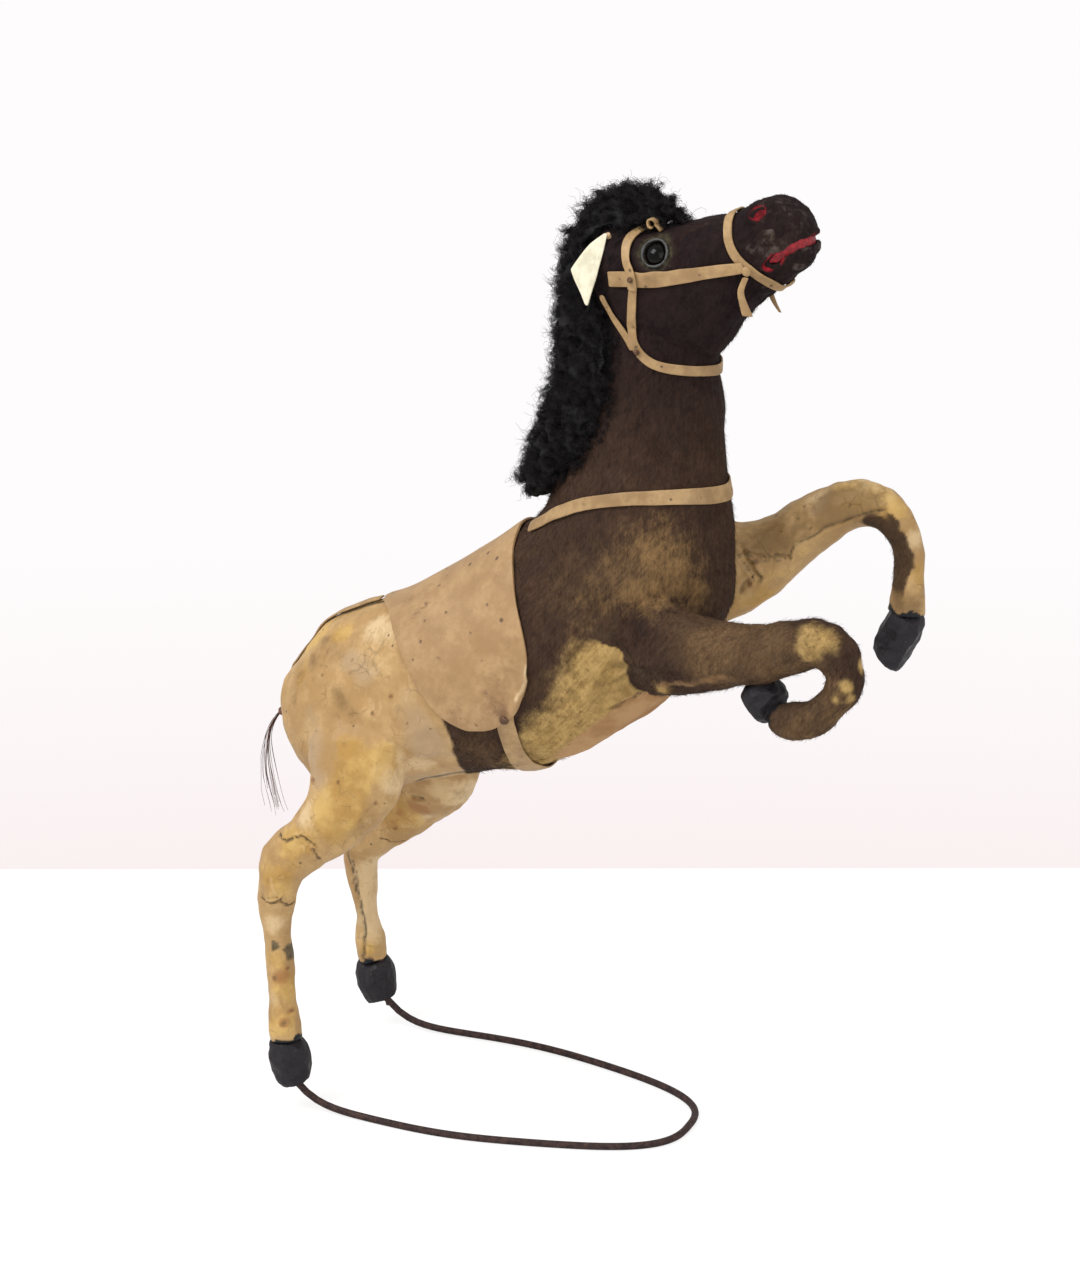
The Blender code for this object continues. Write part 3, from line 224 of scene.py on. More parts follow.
def gathered(name, nodes, grow):
    # One new object with the meshes of several CAD nodes, each moved out along its normals.
    work = bmesh.new()
    for node in nodes:
        part = bmesh.new()
        part.from_mesh(frame["nodes"][node].data)
        bmesh.ops.remove_doubles(part, verts=part.verts, dist=1e-6)
        part.normal_update()
        for vertex in part.verts:
            vertex.co += vertex.normal * grow
        mesh = meshFrom(part, "part")
        work.from_mesh(mesh)
        bpy.data.meshes.remove(mesh)
    return linked(name, meshFrom(work, name))


def bake(thing):
    # The modifiers' result becomes the mesh.
    bpy.context.view_layer.update()
    mesh = bpy.data.meshes.new_from_object(thing.evaluated_get(bpy.context.evaluated_depsgraph_get()))
    old = thing.data
    thing.modifiers.clear()
    thing.data = mesh
    bpy.data.meshes.remove(old)


def voxelled(thing, size):
    modifier = thing.modifiers.new("skin", "REMESH")
    modifier.mode = "VOXEL"
    modifier.voxel_size = size
    bake(thing)


def keepOutside(thing):
    # Drops what lies inside the skin, which the remesh also meshes.
    mesh = thing.data
    count = len(mesh.vertices)
    label = np.arange(count)
    ends = edgesOf(mesh)
    while True:
        low = np.minimum(label[ends[:, 0]], label[ends[:, 1]])
        before = label.copy()
        np.minimum.at(label, ends[:, 0], low)
        np.minimum.at(label, ends[:, 1], low)
        label = label[label]
        if np.array_equal(before, label):
            break
    names, sizes = np.unique(label, return_counts=True)
    inside = label != names[np.argmax(sizes)]
    if inside.any():
        work = bmesh.new()
        work.from_mesh(mesh)
        work.verts.ensure_lookup_table()
        bmesh.ops.delete(work, geom=[work.verts[i] for i in np.flatnonzero(inside)], context="VERTS")
        work.to_mesh(mesh)
        work.free()


def edgesOf(mesh):
    ends = np.zeros(len(mesh.edges) * 2, np.int64)
    mesh.edges.foreach_get("vertices", ends)
    return ends.reshape(-1, 2)


def places(mesh):
    flat = np.zeros(len(mesh.vertices) * 3, np.float32)
    mesh.vertices.foreach_get("co", flat)
    return flat.reshape(-1, 3).astype(float)


def normals(mesh):
    flat = np.zeros(len(mesh.vertices) * 3, np.float32)
    mesh.vertex_normals.foreach_get("vector", flat)
    return flat.reshape(-1, 3).astype(float)


def putBack(mesh, points):
    mesh.vertices.foreach_set("co", points.astype(np.float32).ravel())
    mesh.update()


def averaged(values, ends, count):
    # Each vertex's mean of its neighbours' values.
    values = np.asarray(values, float)
    flat = values.reshape(count, -1)
    total = np.zeros_like(flat)
    for column in range(flat.shape[1]):
        total[:, column] = (np.bincount(ends[:, 0], flat[ends[:, 1], column], count)
                            + np.bincount(ends[:, 1], flat[ends[:, 0], column], count))
    degree = np.bincount(ends.ravel(), minlength=count)
    return (total / np.maximum(degree, 1)[:, None]).reshape(values.shape)


def relaxed(points, ends, rounds, keepSize=True, weight=1.0):
    # Smooths a mesh. With keepSize each round also swells it back.
    for _ in range(rounds):
        points = points + 0.5 * weight * (averaged(points, ends, len(points)) - points)
        if keepSize:
            points = points - 0.52 * weight * (averaged(points, ends, len(points)) - points)
    return points


def ripples(points, size, seed):
    # Smooth random numbers over space, about -1 to 1, with features of that size.
    waves = 22
    chance = np.random.default_rng(seed)
    heading = chance.normal(size=(waves, 3))
    heading /= np.linalg.norm(heading, axis=1, keepdims=True)
    pitch = 2 * math.pi / (size * chance.uniform(1.2, 3.0, waves))
    phase = chance.uniform(0, 7, waves)
    return np.sin(points @ (heading * pitch[:, None]).T + phase).sum(1) / math.sqrt(waves)


def spots(points, rows):
    # Soft round patches, from rows of x, y, z and radius in millimetres and strength.
    total = np.zeros(len(points))
    for x, y, z, radius, strength in rows:
        apart = np.linalg.norm(points - np.array([x, y, z]) * mm, axis=1) / (radius * mm)
        total += strength * np.exp(-apart ** 2)
    return total


def spotLift(points, rows):
    # The same with a height in millimetres instead of a strength.
    return spots(points, [(x, y, z, radius, height * mm) for x, y, z, radius, height in rows])


def hump(apart, width):
    # 1 where apart is 0, falling away on both sides over that width.
    return np.exp(-(apart / width) ** 2)


def onRight(points):
    # Both sides of the horse folded onto its right one.
    return np.stack([points[:, 0], -np.abs(points[:, 1]), points[:, 2]], axis=1)


def alongLine(points, line):
    # How far each point is from a line through points given in millimetres, or 1 m where it is far.
    line = np.array(line, float) * mm
    best = np.full(len(points), 1.0)
    low = line.min(axis=0) - 0.012
    high = line.max(axis=0) + 0.012
    near = np.flatnonzero(((points > low) & (points < high)).all(axis=1))
    for start, end in zip(line, line[1:]):
        run = end - start
        share = np.clip((points[near] - start) @ run / (run @ run + 1e-12), 0, 1)
        apart = np.linalg.norm(points[near] - start - share[:, None] * run, axis=1)
        best[near] = np.minimum(best[near], apart)
    return best


def insideOutline(points, corners):
    # How far each point is inside a convex outline, given as x and z in millimetres.
    middle = np.mean(corners, axis=0)
    depth = np.full(len(points), 1.0)
    for start, end in zip(corners, corners[1:] + corners[:1]):
        run = np.subtract(end, start)
        inward = np.array([run[1], -run[0]]) / np.linalg.norm(run)
        inward *= np.sign((middle - start) @ inward)
        depth = np.minimum(depth, (points[:, [0, 2]] / mm - start) @ inward * mm)
    return depth


def treeOver(mesh):
    faces = [tuple(polygon.vertices) for polygon in mesh.polygons]
    return BVHTree.FromPolygons([tuple(place) for place in places(mesh)], faces)


def laid(tree, line):
    # A line in short steps that lie on the skin, in millimetres.
    line = np.array(line, float) * mm
    steps = [line[0]]
    for start, end in zip(line, line[1:]):
        count = max(1, round(np.linalg.norm(end - start) / 0.0012))
        steps += [start + (end - start) * k / count for k in range(1, count + 1)]
    return np.array([tree.find_nearest(Vector(p))[0] for p in steps]) / mm


def heightsOver(trees, points):
    # How far each point is outside the outermost of some skins, and which way is out there.
    heights = np.zeros(len(points))
    outward = np.zeros((len(points), 3))
    for i, point in enumerate(points):
        spot = Vector(point)
        found = [tree.find_nearest(spot) for tree in trees]
        apart = [(spot - place).dot(normal) for place, normal, _, _ in found]
        least = int(np.argmin(apart))
        heights[i] = apart[least]
        outward[i] = found[least][1]
    return heights, outward


def easing(values, low, high):
    share = np.clip((values - low) / (high - low), 0, 1)
    return share * share * (3 - 2 * share)


def averagedTimes(values, ends, rounds):
    for _ in range(rounds):
        values = 0.5 * values + 0.5 * averaged(values, ends, len(values))
    return values


def paintOn(mesh, **layers):
    for name, values in layers.items():
        layer = mesh.attributes.new(name, "FLOAT", "POINT")
        layer.data.foreach_set("value", np.clip(values, 0, 1).astype(np.float32))


def boxOf(node):
    return [np.array(corner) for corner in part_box(node)]


def treeOf(nodes):
    # A search tree over several CAD nodes, and which node each of its faces is of.
    vertices = []
    faces = []
    owner = []
    for index, node in enumerate(nodes):
        mesh = frame["nodes"][node].data
        base = len(vertices)
        vertices += [v.co.copy() for v in mesh.vertices]
        faces += [[base + i for i in polygon.vertices] for polygon in mesh.polygons]
        owner += [index] * len(mesh.polygons)
    return BVHTree.FromPolygons(vertices, faces), np.array(owner)


def tubes(paths, radii, sides=3):
    # Vertices and faces of many thin tubes at once: paths is (strand, step, 3), radii (strand, step).
    count, steps, _ = paths.shape
    heading = np.gradient(paths, axis=1)
    heading /= np.linalg.norm(heading, axis=2, keepdims=True) + 1e-12
    helper = np.where(np.abs(heading[..., 2:3]) < 0.8, np.array([0.0, 0.0, 1.0]), np.array([1.0, 0.0, 0.0]))
    first = np.cross(heading, helper)
    first /= np.linalg.norm(first, axis=2, keepdims=True) + 1e-12
    second = np.cross(heading, first)
    turns = np.arange(sides) * 2 * math.pi / sides
    rim = np.cos(turns)[:, None, None, None] * first + np.sin(turns)[:, None, None, None] * second
    vertices = (paths + rim * radii[..., None]).transpose(1, 2, 0, 3).reshape(-1, 3)
    grid = np.arange(count * steps * sides).reshape(count, steps, sides)
    after = np.roll(grid, -1, axis=2)
    quads = np.stack([grid[:, :-1], after[:, :-1], after[:, 1:], grid[:, 1:]], axis=-1).reshape(-1, 4)
    ends = [tuple(row) for row in grid[:, -1, ::-1]] + [tuple(row) for row in grid[:, 0]]
    return vertices, [tuple(row) for row in quads] + ends


# The hide: one skin for the body and legs, and a finer one for the head

hide = {
    "voxel": 0.00082,          # the body's mesh
    "headVoxel": 0.00045,      # the head's mesh
    "grow": 0.00025,           # closes the small gaps between the solids under the skin
    "boundary": -0.0315,       # the dark hide starts this far along the barrel
    "headFrom": 0.318,         # hair grows on the head's skin above this height, and on the body's below
    "fold": 0.0007,            # depth of the folds and creases
}

# A crack is a groove with a lip that stands up along one side
groove = {"depth": 0.0006, "width": 0.00045, "lip": 0.00045, "lipWidth": 0.0007, "lipAbove": 0.0009}

bodyParts = ("body_hide", "body_core", "neck_core", "thigh_right", "thigh_left", "hock_right", "hock_left",
             "cannon_right", "cannon_left", "forearm_right", "forearm_left", "shin_right", "shin_left")

skinNames = ("body_hide_skin", "head_skin")

firstLeg = bodyParts.index("thigh_right")
legParts = {name: index for index, name in enumerate(bodyParts) if index >= firstLeg}


# Cracks right through the hide: x, y and z in millimetres

cracks = (
    ((-94.8, -38.3, 109.1), (-92.9, -40.4, 108.2), (-90.8, -41.1, 107.8), (-89.0, -41.2, 108.9),
     (-86.5, -41.5, 110.3), (-83.9, -41.8, 111.4), (-82.2, -41.8, 110.1), (-80.2, -41.8, 108.5),
     (-78.5, -41.3, 107.6)),
    ((-80.2, -41.4, 106.1), (-78.5, -39.0, 101.9)),
    ((-101.3, -41.6, 84.1), (-99.3, -42.3, 82.9), (-97.3, -42.3, 82.9), (-95.2, -41.7, 83.7),
     (-93.8, -41.1, 84.7), (-93.6, -40.8, 83.3), (-92.5, -39.3, 81.9), (-91.6, -37.1, 81.8),
     (-91.2, -35.9, 82.3)),
    ((-86, 25, 86), (-82.8, 26.2, 84.7), (-80.2, 27.8, 84.1), (-77.5, 30, 84.5)))


# Folds and seams: a line, its width in millimetres, its depth and how dark it is
folds = (
    (((26.9, -20.1, 168.5), (31, -19, 170.5), (35, -17.6, 172.8), (39.5, -19.5, 176.5),
     (44, -24, 181)), 0.7, 1.0, 0.9),
    (((21.3, -27.9, 199.6), (30, -26.8, 197.1), (34.7, -25.7, 191.9), (40, -28, 189.5),
     (46.1, -31.7, 187.6), (47.6, -31.1, 184.3)), 1.3, 0.7, 0.2),
    (((30.5, -25.1, 186.2), (36.4, -25.6, 186), (44.3, -31.5, 188.4)), 1.2, 0.9, 0.35),
    (((29.5, -23.8, 179), (36.6, -24.7, 183), (44.7, -31, 186.6)), 1.1, 0.8, 0.25),
    # The belly's lower edge against the far thigh: a shallow crease whose darkness is painted shade in the
    # gap.
    (((-52, -12, 127.5), (-45, -12.5, 130.3), (-37.6, -14.5, 132.9),
     (-25.3, -14.5, 135.6)), 1.6, 0.25, 1.0),
    (((-69.6, 19.1, 107.2), (-66.5, 18.4, 107.5), (-64.6, 18.2, 107.9)), 0.8, 1.0, 0.8),
    (((72.6, 17.7, 218.9), (77.1, 19.6, 218.2), (78.5, 20, 222.7), (84.5, 21.9, 226.2),
     (89.4, 23.2, 230.2), (93.4, 24.5, 231.4), (100, 24.5, 234.9), (105.3, 24.5, 236.6),
     (108.9, 25.3, 237.3)), 0.6, 0.8, 0.8),
    (((-102.3, 28.0, 82), (-101.5, 28.4, 75.1), (-99.6, 30, 62.3), (-98.2, 31.3, 53.6),
     (-97.6, 32.2, 40.6), (-98.3, 32.6, 29.7)), 0.8, 0.6, 1.1),
    (((-99.9, 28, 73.4), (-98.6, 29.5, 66), (-98.8, 31.0, 57.5)), 0.6, 0.5, 0.8),
    (((61.5, 13.5, 222), (61.9, 14.8, 219.3), (66, 14.7, 212.8), (68, 15.8, 210.5)), 0.8, 1.2, 0.9),
    (((61.8, 15, 219.8), (69.8, 16.5, 217.4), (77.1, 19.6, 218.2)), 0.7, 1.0, 0.85),
    (((61, 14.3, 218.8), (64.9, 14.5, 214.8), (66.9, 15.6, 209.2)), 0.8, 1.1, 0.8),
    (((64.2, 14.1, 210.1), (62.5, 14, 208), (61.5, 13.8, 205.7)), 0.9, 0.8, 0.7))


# Fine lines in the paint, as thin as a hair
hairlines = (
    ((-65.9, -22.4, 179.2), (-61.8, -24.6, 178.2), (-60.1, -21.8, 182.6)),
    ((-61.8, -24.6, 178.2), (-62.8, -25.6, 175.6), (-58.5, -28.5, 171.9), (-54.0, -29.6, 171.3)),
    ((-100.5, -41.6, 91.2), (-99.3, -42.3, 90.0), (-97.8, -42.3, 92.2)),
    ((-101.5, -41.6, 85.6), (-99.5, -42.3, 84.9), (-97.0, -42.3, 84.9), (-95, -41.5, 85.2),
     (-93.9, -41.1, 84.9)),
    ((-72, -26, 170), (-68.5, -27, 172), (-66, -25.5, 175), (-66.5, -23, 178)))


# Torn places on the near hind leg: x and z in millimetres
tears = (
    ((-97.7, 68.9), (-97.9, 63.0), (-94.8, 65.6)),
    ((-92.9, 65.9), (-94.0, 64.2), (-92.3, 59.3), (-91.2, 62.1)))


# Small dark spots: x, y, z and radius in millimetres
spotsDark = (
    (-96.4, -42.4, 53.3, 0.7), (-92.4, -39.8, 57.2, 0.5), (-90.2, -40.7, 40.9, 0.9),
    (-92.7, -43.4, 36.4, 1.2), (-53.4, -31.1, 165.1, 0.9), (-83.7, -23.6, 166.8, 0.5),
    (-69.4, -40.2, 133.7, 0.6), (-56.6, -36.7, 126.3, 0.6), (-46.1, -32.1, 156, 0.5),
    (17.7, -24.9, 167.9, 0.7), (16.2, -22.8, 162.8, 0.5), (29.7, -18.7, 168.8, 0.3),
    (-80.9, -36.5, 131.5, 0.8), (-59.9, -31.8, 158.1, 0.8), (-72, -25, 175, 0.4),
    (-81.6, -36.0, 131.2, 0.9), (66.2, 15.3, 217.0, 1.5), (64.5, 14.2, 208.5, 1.2), (-79.5, 24.5, 91, 0.6),
    (-96, 33, 30, 1.3), (70, 26, 231, 0.6), (74, 26, 225, 0.45), (81, 25, 235, 0.45), (97, 25, 238, 0.5),
    (84, 24, 228.5, 0.5), (79, 22, 232, 0.4), (90, 25, 232, 0.5))


# Humps and hollows of the hide: x, y, z and radius in millimetres, and height in millimetres
lifts = {
    "body": (
        (-89, 0, 183, 15, 2.3), (-78, 0, 188, 9, 0.6), (-60, -30, 170, 13, -1.0), (-72, -36, 140, 12, 0.9),
        (-47, -31, 140, 9, -0.9), (45, -22, 226, 13, 0.9), (30, -27, 203, 7, -0.7), (62, -34, 202, 9, 0.5),
        (105, -37, 210, 6, 0.7), (104, -35, 215.5, 5, 0.9), (112, -34, 212.5, 5, 2.1),
        (118, -33, 206, 5, 2.6), (112, -34, 181, 4, 0.2), (117, -34, 183, 6, -1.3),
        (103, -34, 195, 4, -0.7), (55, -32, 184, 7, -1.0), (-97, -38, 104, 5, 0.9), (-89, -40, 115, 6, 1.1),
        (60, -5, 232, 8, -0.7), (-104, -30, 148, 12, -0.7), (98, -36, 171, 5, 0.5), (-92, -44, 104, 6, 0.6),
        (-96, -44, 88, 5, 0.8), (-95, -44, 72, 4, -0.3), (-92, -44, 34, 4, 0.7), (110, 26, 238, 6, 0.5),
        (120, 27, 222, 5, -0.5), (119, 27, 207, 4.5, 1.2), (113, 26, 222, 6, -0.9), (114, 27, 214, 5, -0.7),
        (-84, 27, 84, 6, 0.4), (-67, 24, 94, 8, -2.2), (-74, 25, 88, 7, -1.4), (20, -24, 172, 10, 0.5),
        (58, -6, 252, 12, -0.9), (-20, -30, 150, 6, -0.4), (-96, -40, 93, 5, 0.5), (-103, -40, 97, 6, 0.5),
        (80, 20, 212, 10, -0.6), (45.9, 25, 200.7, 7, 2.6)),
    "head": (
        (47, -11, 337.0, 4.5, 1.3), (53, -5, 337.6, 4.0, 0.7), (30, -14, 310, 9, 0.6),
        (40, -15, 300, 8, 0.5), (58, -13, 330, 7, -0.6), (52, -15, 319, 6, 0.4), (78, -7, 345.5, 4, 0.8),
        (86, -4, 340, 4, 0.5), (82, -7, 321.5, 4, 0.6), (40, -12, 337, 5, 0.4), (68, -10, 333, 5, -0.4),
        (56, -2, 340.5, 2.6, 1.3), (84, -8.5, 336.5, 3.5, 0.6), (86.5, -6, 325.5, 3.5, 0.7),
        (91.5, -1, 332.8, 2.6, -1.5))
}


# What the hide's layers of paint start from: x, y, z and radius in millimetres, and strength
patches = {
    "worn": (
        (42, -23, 232, 10, 0.50), (52, -19, 222, 12, 0.60), (38, -26, 212, 9, 0.60),
        (28, -26, 226, 8, 0.35), (22, -27, 210, 8, 0.50), (16, -28, 198, 8, 0.40), (56, -15, 211, 7, 0.55),
        (48, -30, 213, 8, 0.35), (72, -36, 203, 9, 0.25), (48, -16, 262, 8, 0.20), (50, -14, 243, 9, 0.22),
        (30, -17, 283, 8, 0.12), (-8, -10, 226, 8, 0.25), (113, -36, 183, 6, 0.55), (104, -37, 173, 6, 0.6)),
    "fade": (
        (62, -34, 200, 12, 0.6), (80, -37, 203, 13, 0.95), (72, -36, 195, 10, 0.7), (92, -37, 203, 11, 0.9),
        (104, -37, 200, 9, 0.8), (113, -36, 183, 11, 0.85), (100, -36, 174, 11, 0.9),
        (-20, -30, 148, 13, 0.6), (18, -27, 206, 16, 0.5), (50, -20, 224, 14, 0.6), (36, -24, 218, 15, 0.6),
        (10, -28, 170, 14, 0.6), (60, -12, 208, 10, 0.5), (10, -26, 220, 14, 0.25), (30, -20, 240, 14, 0.2)),
    "olive": (
        (104, -36, 210.5, 6.2, 0.52), (105, -38, 204.5, 4.0, 0.50), (111, -36, 209, 4.5, 0.50),
        (117.5, -37, 194, 2.6, 0.9), (121, -31, 200, 3.0, 0.8), (119, -35, 189, 2.2, 0.8),
        (113.6, -37, 189, 2.0, 0.6), (50, -30, 181, 3.5, 0.7)),
    "ochre": (
        (-53.5, -33.2, 142.4, 7, 0.8), (-62, -38.5, 139.0, 7, 1.1), (-66.9, -40.6, 128.4, 9, 1.1),
        (-72, -41, 118.5, 8, 1.3), (-57, 18, 112, 10, 0.5), (-76, 22, 98, 9, 1.2), (-92, -40, 50, 7, 0.9),
        (-94, -43, 36, 7, 0.9), (-96, -42, 62, 6, 0.6), (-92, -42, 88, 8, 0.6), (-95, 33, 45, 9, 0.3),
        (-96.5, 33, 34, 3, 0.9), (96, 26, 244, 9, 0.8), (112, 27, 240, 8, 1.0), (68, 16, 200, 12, 0.8),
        (88, 20, 215, 10, 0.7), (-67, -37, 147, 6, 0.9), (-90, -5, 178, 6, 0.9), (-94, -8, 173, 6, 1.0),
        (-80, -14, 181, 5, 1.1), (-95, -18, 165, 6, 0.7), (-88, -42, 108, 8, 1.0), (122, 30, 216, 7, 0.7),
        (-97, -41, 95, 7, 0.7)),
    "pale": (
        (-66, -16, 185.5, 7, 0.85), (-58, -20, 184, 6, 0.55), (-54, -27, 175, 5, 0.40),
        (-62, -27, 172, 3, 0.5), (-83, -43, 118, 6, 0.9), (-49, 26, 110, 8, 1.1), (-58, 20, 113, 8, 0.8),
        (-66, 24, 97, 6, 0.6), (-93, 32.5, 69, 8, 1.0), (-93, 34, 46, 9, 1.0), (-94, 33, 57, 7, 0.8),
        (-44, -25, 138, 6, 0.8), (-54, -28, 131, 4, 0.6), (-98, -42, 97, 5, 0.6), (-96, -43, 75, 6, 0.8),
        (-93, -43, 62, 5, 0.5), (-96, -43, 45, 5, 0.6), (122, 28, 228, 6, 1.0), (100, 28, 249, 8, 1.3),
        (84, 24, 242, 6, 0.9), (111, 28, 245, 6, 1.0), (106, 27, 243.5, 4, 1.0), (-56, -36, 138, 3, 0.9),
        (-51, -32, 141, 3, 0.7), (-49.5, -33, 143.5, 5, 0.7), (-50, -33, 133.5, 6, 0.9),
        (-65, -38, 129.5, 6, 0.45), (-86, -42, 122, 6, 0.5)),
    "ash": (
        (-73, -23.6, 174, 5.5, 0.9), (-64.3, -27.3, 171, 5.5, 0.8), (-46, -31, 165, 8, 0.5),
        (-41, -32.2, 155, 8, 0.6), (-82.6, -34.4, 143, 7, 1.1), (-78, -38, 133, 5, 0.8),
        (-88, -28, 152, 6, 0.6), (-35, -30, 150, 8, 0.7), (-42, -29, 146, 6, 0.7), (-95, -43, 86, 5, 0.4),
        (-100, 31, 70, 9, 0.35), (-96, 33, 50, 9, 0.35)),
    "grime": (
        (-86.8, -13.4, 176, 4, 0.75), (-90.1, -17.6, 170, 4, 0.8), (-96.2, -18.1, 163.6, 4, 0.7),
        (-96.4, -22.4, 155.3, 4, 0.5), (-84, -24, 165, 5, 0.3), (-81, -20, 171.5, 6, 0.18),
        (-56, -30.5, 168, 7, 0.30), (75, 26, 230, 7, 0.55), (91, 25, 237, 7, 0.85),
        (103, 26, 236.5, 6, 0.8), (-75.6, -28.1, 163, 3.5, 0.7), (-72.5, -29.5, 159.5, 3.5, 0.75),
        (-75.7, -30.1, 153, 4, 0.4), (-66, -31, 155, 5, 0.45), (-82, -20, 176, 4, 0.5),
        (-77, -22, 176, 3, 0.4), (-50, -31.5, 160, 5, 0.35), (-62.9, -37, 115.2, 6, 0.5),
        (-76, -41.5, 113, 5, 0.4), (-58, -37, 125, 5, 0.4), (-99, 30, 60, 3, 0.35), (-100, 28, 76, 4, 0.45),
        (-51.3, 22.6, 110, 5, 0.5), (-55, 18, 117, 4, 0.4), (114, 22, 218, 5, 0.5), (117, 27, 206, 6, 0.75),
        (120, 28, 203, 4, 0.6), (-68.4, -36.7, 147, 2.5, 0.5)),
    "rust": (
        (-94, -41.6, 54.5, 3.4, 1.0), (-97, -42, 50, 3, 0.4), (-66.3, 20.7, 101.5, 3.6, 1.1),
        (-70, 20.5, 104.5, 3, 0.7), (-76.5, 21.7, 98.8, 2.5, 0.8), (-80.3, 23.2, 92.7, 2.5, 0.7),
        (-60.9, -38.4, 139, 3, 0.2), (-69, -36.5, 144.5, 3, 0.5), (-91, -43, 41, 2.0, 0.6),
        (-93, -43, 36.5, 2.2, 0.6), (-103, 29, 72, 2.5, 0.6), (-101, 30, 62, 2.5, 0.6))
}


# Spots in the same form that change the layers
marks = {
    "shoulder": ((41, -30, 202, 7.5, 1.0),),
    "shoulderShade": ((41, -30, 202, 8, 1.0),),
    "farKnee": ((104.5, 25.3, 232.6, 3.6, 1.0), (108.5, 25, 231.5, 3.2, 1.0)),
    "farSeam": ((92, 25, 237, 6, 1.0), (101, 25, 238, 5, 1.0), (73, 18, 223, 6, 1.0), (64, 15, 222, 6, 0.6)),
    "hoofEdge": ((-89.3, -40.5, 31.4, 3.2, 1.0), (113, 26, 201, 3, 0.8), (121, 28, 200, 3, 0.6)),
    "headWorn": ((60, -12, 331, 6, 0.30), (52, -14, 333, 5, 0.25)),
    "headGrey": (
        (52, -14, 333, 6, 0.6), (46, -16, 322, 5, 0.4), (76, -9, 334, 4, 0.3), (83, -9.5, 333.6, 1.6, 0.9),
        (80, -10.5, 331.5, 1.6, 0.9), (71, -10.8, 331, 2.5, 0.5), (78, -10.9, 337.5, 2.2, 0.4),
        (87, -7, 325, 3, 0.4)),
    "headShade": ((54, -13, 331, 10, 1.0), (80, -8, 335, 9, 0.8)),
}


# Where colours meet, in metres: z and the edge's x there for shinStrip and chest, x and its z for the others
edges = {
    "shinStrip": ((0.2080, 0.2176, 0.2231, 0.2285, 0.2339, 0.2368),
                  (0.1168, 0.1196, 0.1180, 0.1168, 0.1144, 0.1103)),
    "farSeam": ((0.0700, 0.0771, 0.0785, 0.0845, 0.0894, 0.0934, 0.1000, 0.1053, 0.1089),
                (0.2185, 0.2182, 0.2227, 0.2262, 0.2302, 0.2314, 0.2349, 0.2366, 0.2373)),
    "belly": ((0.002, 0.014, 0.031, 0.046, 0.056), (0.1460, 0.1555, 0.1715, 0.1810, 0.1860)),
    "chest": ((0.150, 0.176, 0.1835, 0.1885, 0.1935, 0.1980),
              (0.060, 0.0475, 0.0430, 0.0365, 0.0295, 0.0200)),
}

# The lighter rim under the near forearm
forearmRim = ((47.5, -31, 183.5), (54.6, -32.2, 184.5), (61.3, -33.7, 186.4), (67.2, -35.2, 188.8),
              (74, -36, 191.5))


def openCracks(skin):
    # Finer faces along the cracks, then the groove and its lip.
    mesh = skin.data
    tree = treeOver(mesh)
    lines = [laid(tree, line) for line in cracks]
    work = bmesh.new()
    work.from_mesh(mesh)
    for reach in (0.0028, 0.0018):
        points = np.array([v.co for v in work.verts])
        near = np.minimum.reduce([alongLine(points, line) for line in lines]) < reach
        chosen = [e for e in work.edges if near[e.verts[0].index] and near[e.verts[1].index]]
        bmesh.ops.subdivide_edges(work, edges=chosen, cuts=1, use_grid_fill=True)
        work.verts.index_update()
    bmesh.ops.triangulate(work, faces=[f for f in work.faces if len(f.verts) > 4])
    work.normal_update()
    work.to_mesh(mesh)
    work.free()
    mesh.shade_smooth()
    points = places(mesh)
    out = normals(mesh)
    away = crackDistance(points, lines)
    above = crackDistance(points - [0, 0, groove["lipAbove"]], lines)
    lift = groove["lip"] * hump(above, groove["lipWidth"]) - groove["depth"] * hump(away, groove["width"])
    putBack(mesh, points + out * lift[:, None])


def crackDistance(points, lines):
    jitter = 0.00030 * ripples(points, 0.0014, 14)[:, None]
    return np.minimum.reduce([alongLine(points + jitter, line) for line in lines])


def skinOf(name, nodes, voxel):
    skin = gathered(name, nodes, hide["grow"])
    voxelled(skin, voxel)
    keepOutside(skin)
    return skin


def nearestPart(points):
    # The number in bodyParts of the solid that is nearest to each point.
    tree, owner = treeOf(bodyParts)
    return np.array([owner[tree.find_nearest(Vector(point))[2]] for point in points])


def makeBodyHide():
    skin = skinOf("body_hide_skin", bodyParts + ("head",), hide["voxel"])
    mesh = skin.data
    ends = edgesOf(mesh)
    points = places(mesh)
    onLeg = averagedTimes((nearestPart(points) >= firstLeg).astype(float), ends, 8)
    points = relaxed(points, ends, 3)
    junction = 4 * onLeg * (1 - onLeg)
    points = relaxed(points, ends, 14, False, junction[:, None])
    putBack(mesh, points)
    out = normals(mesh)

    lift = (0.00042 * ripples(points, 0.016, 11) + 0.00024 * ripples(points, 0.007, 12)
            + 0.00010 * ripples(points, 0.0028, 13))
    lift += spotLift(points, lifts["body"])
    tree = treeOver(mesh)
    for line, wide, depth, _ in folds:
        away = alongLine(points, laid(tree, line))
        lift -= hide["fold"] * depth * hump(away, wide * mm)
        lift += hide["fold"] * 0.5 * depth * hump(away / mm - wide * 2.2, wide)
    putBack(mesh, points + out * (lift - hide["grow"])[:, None])
    openCracks(skin)
    paintHide(skin.data)
    dress(skin, hideFinish(), "horse", ("body_hide", *legParts))


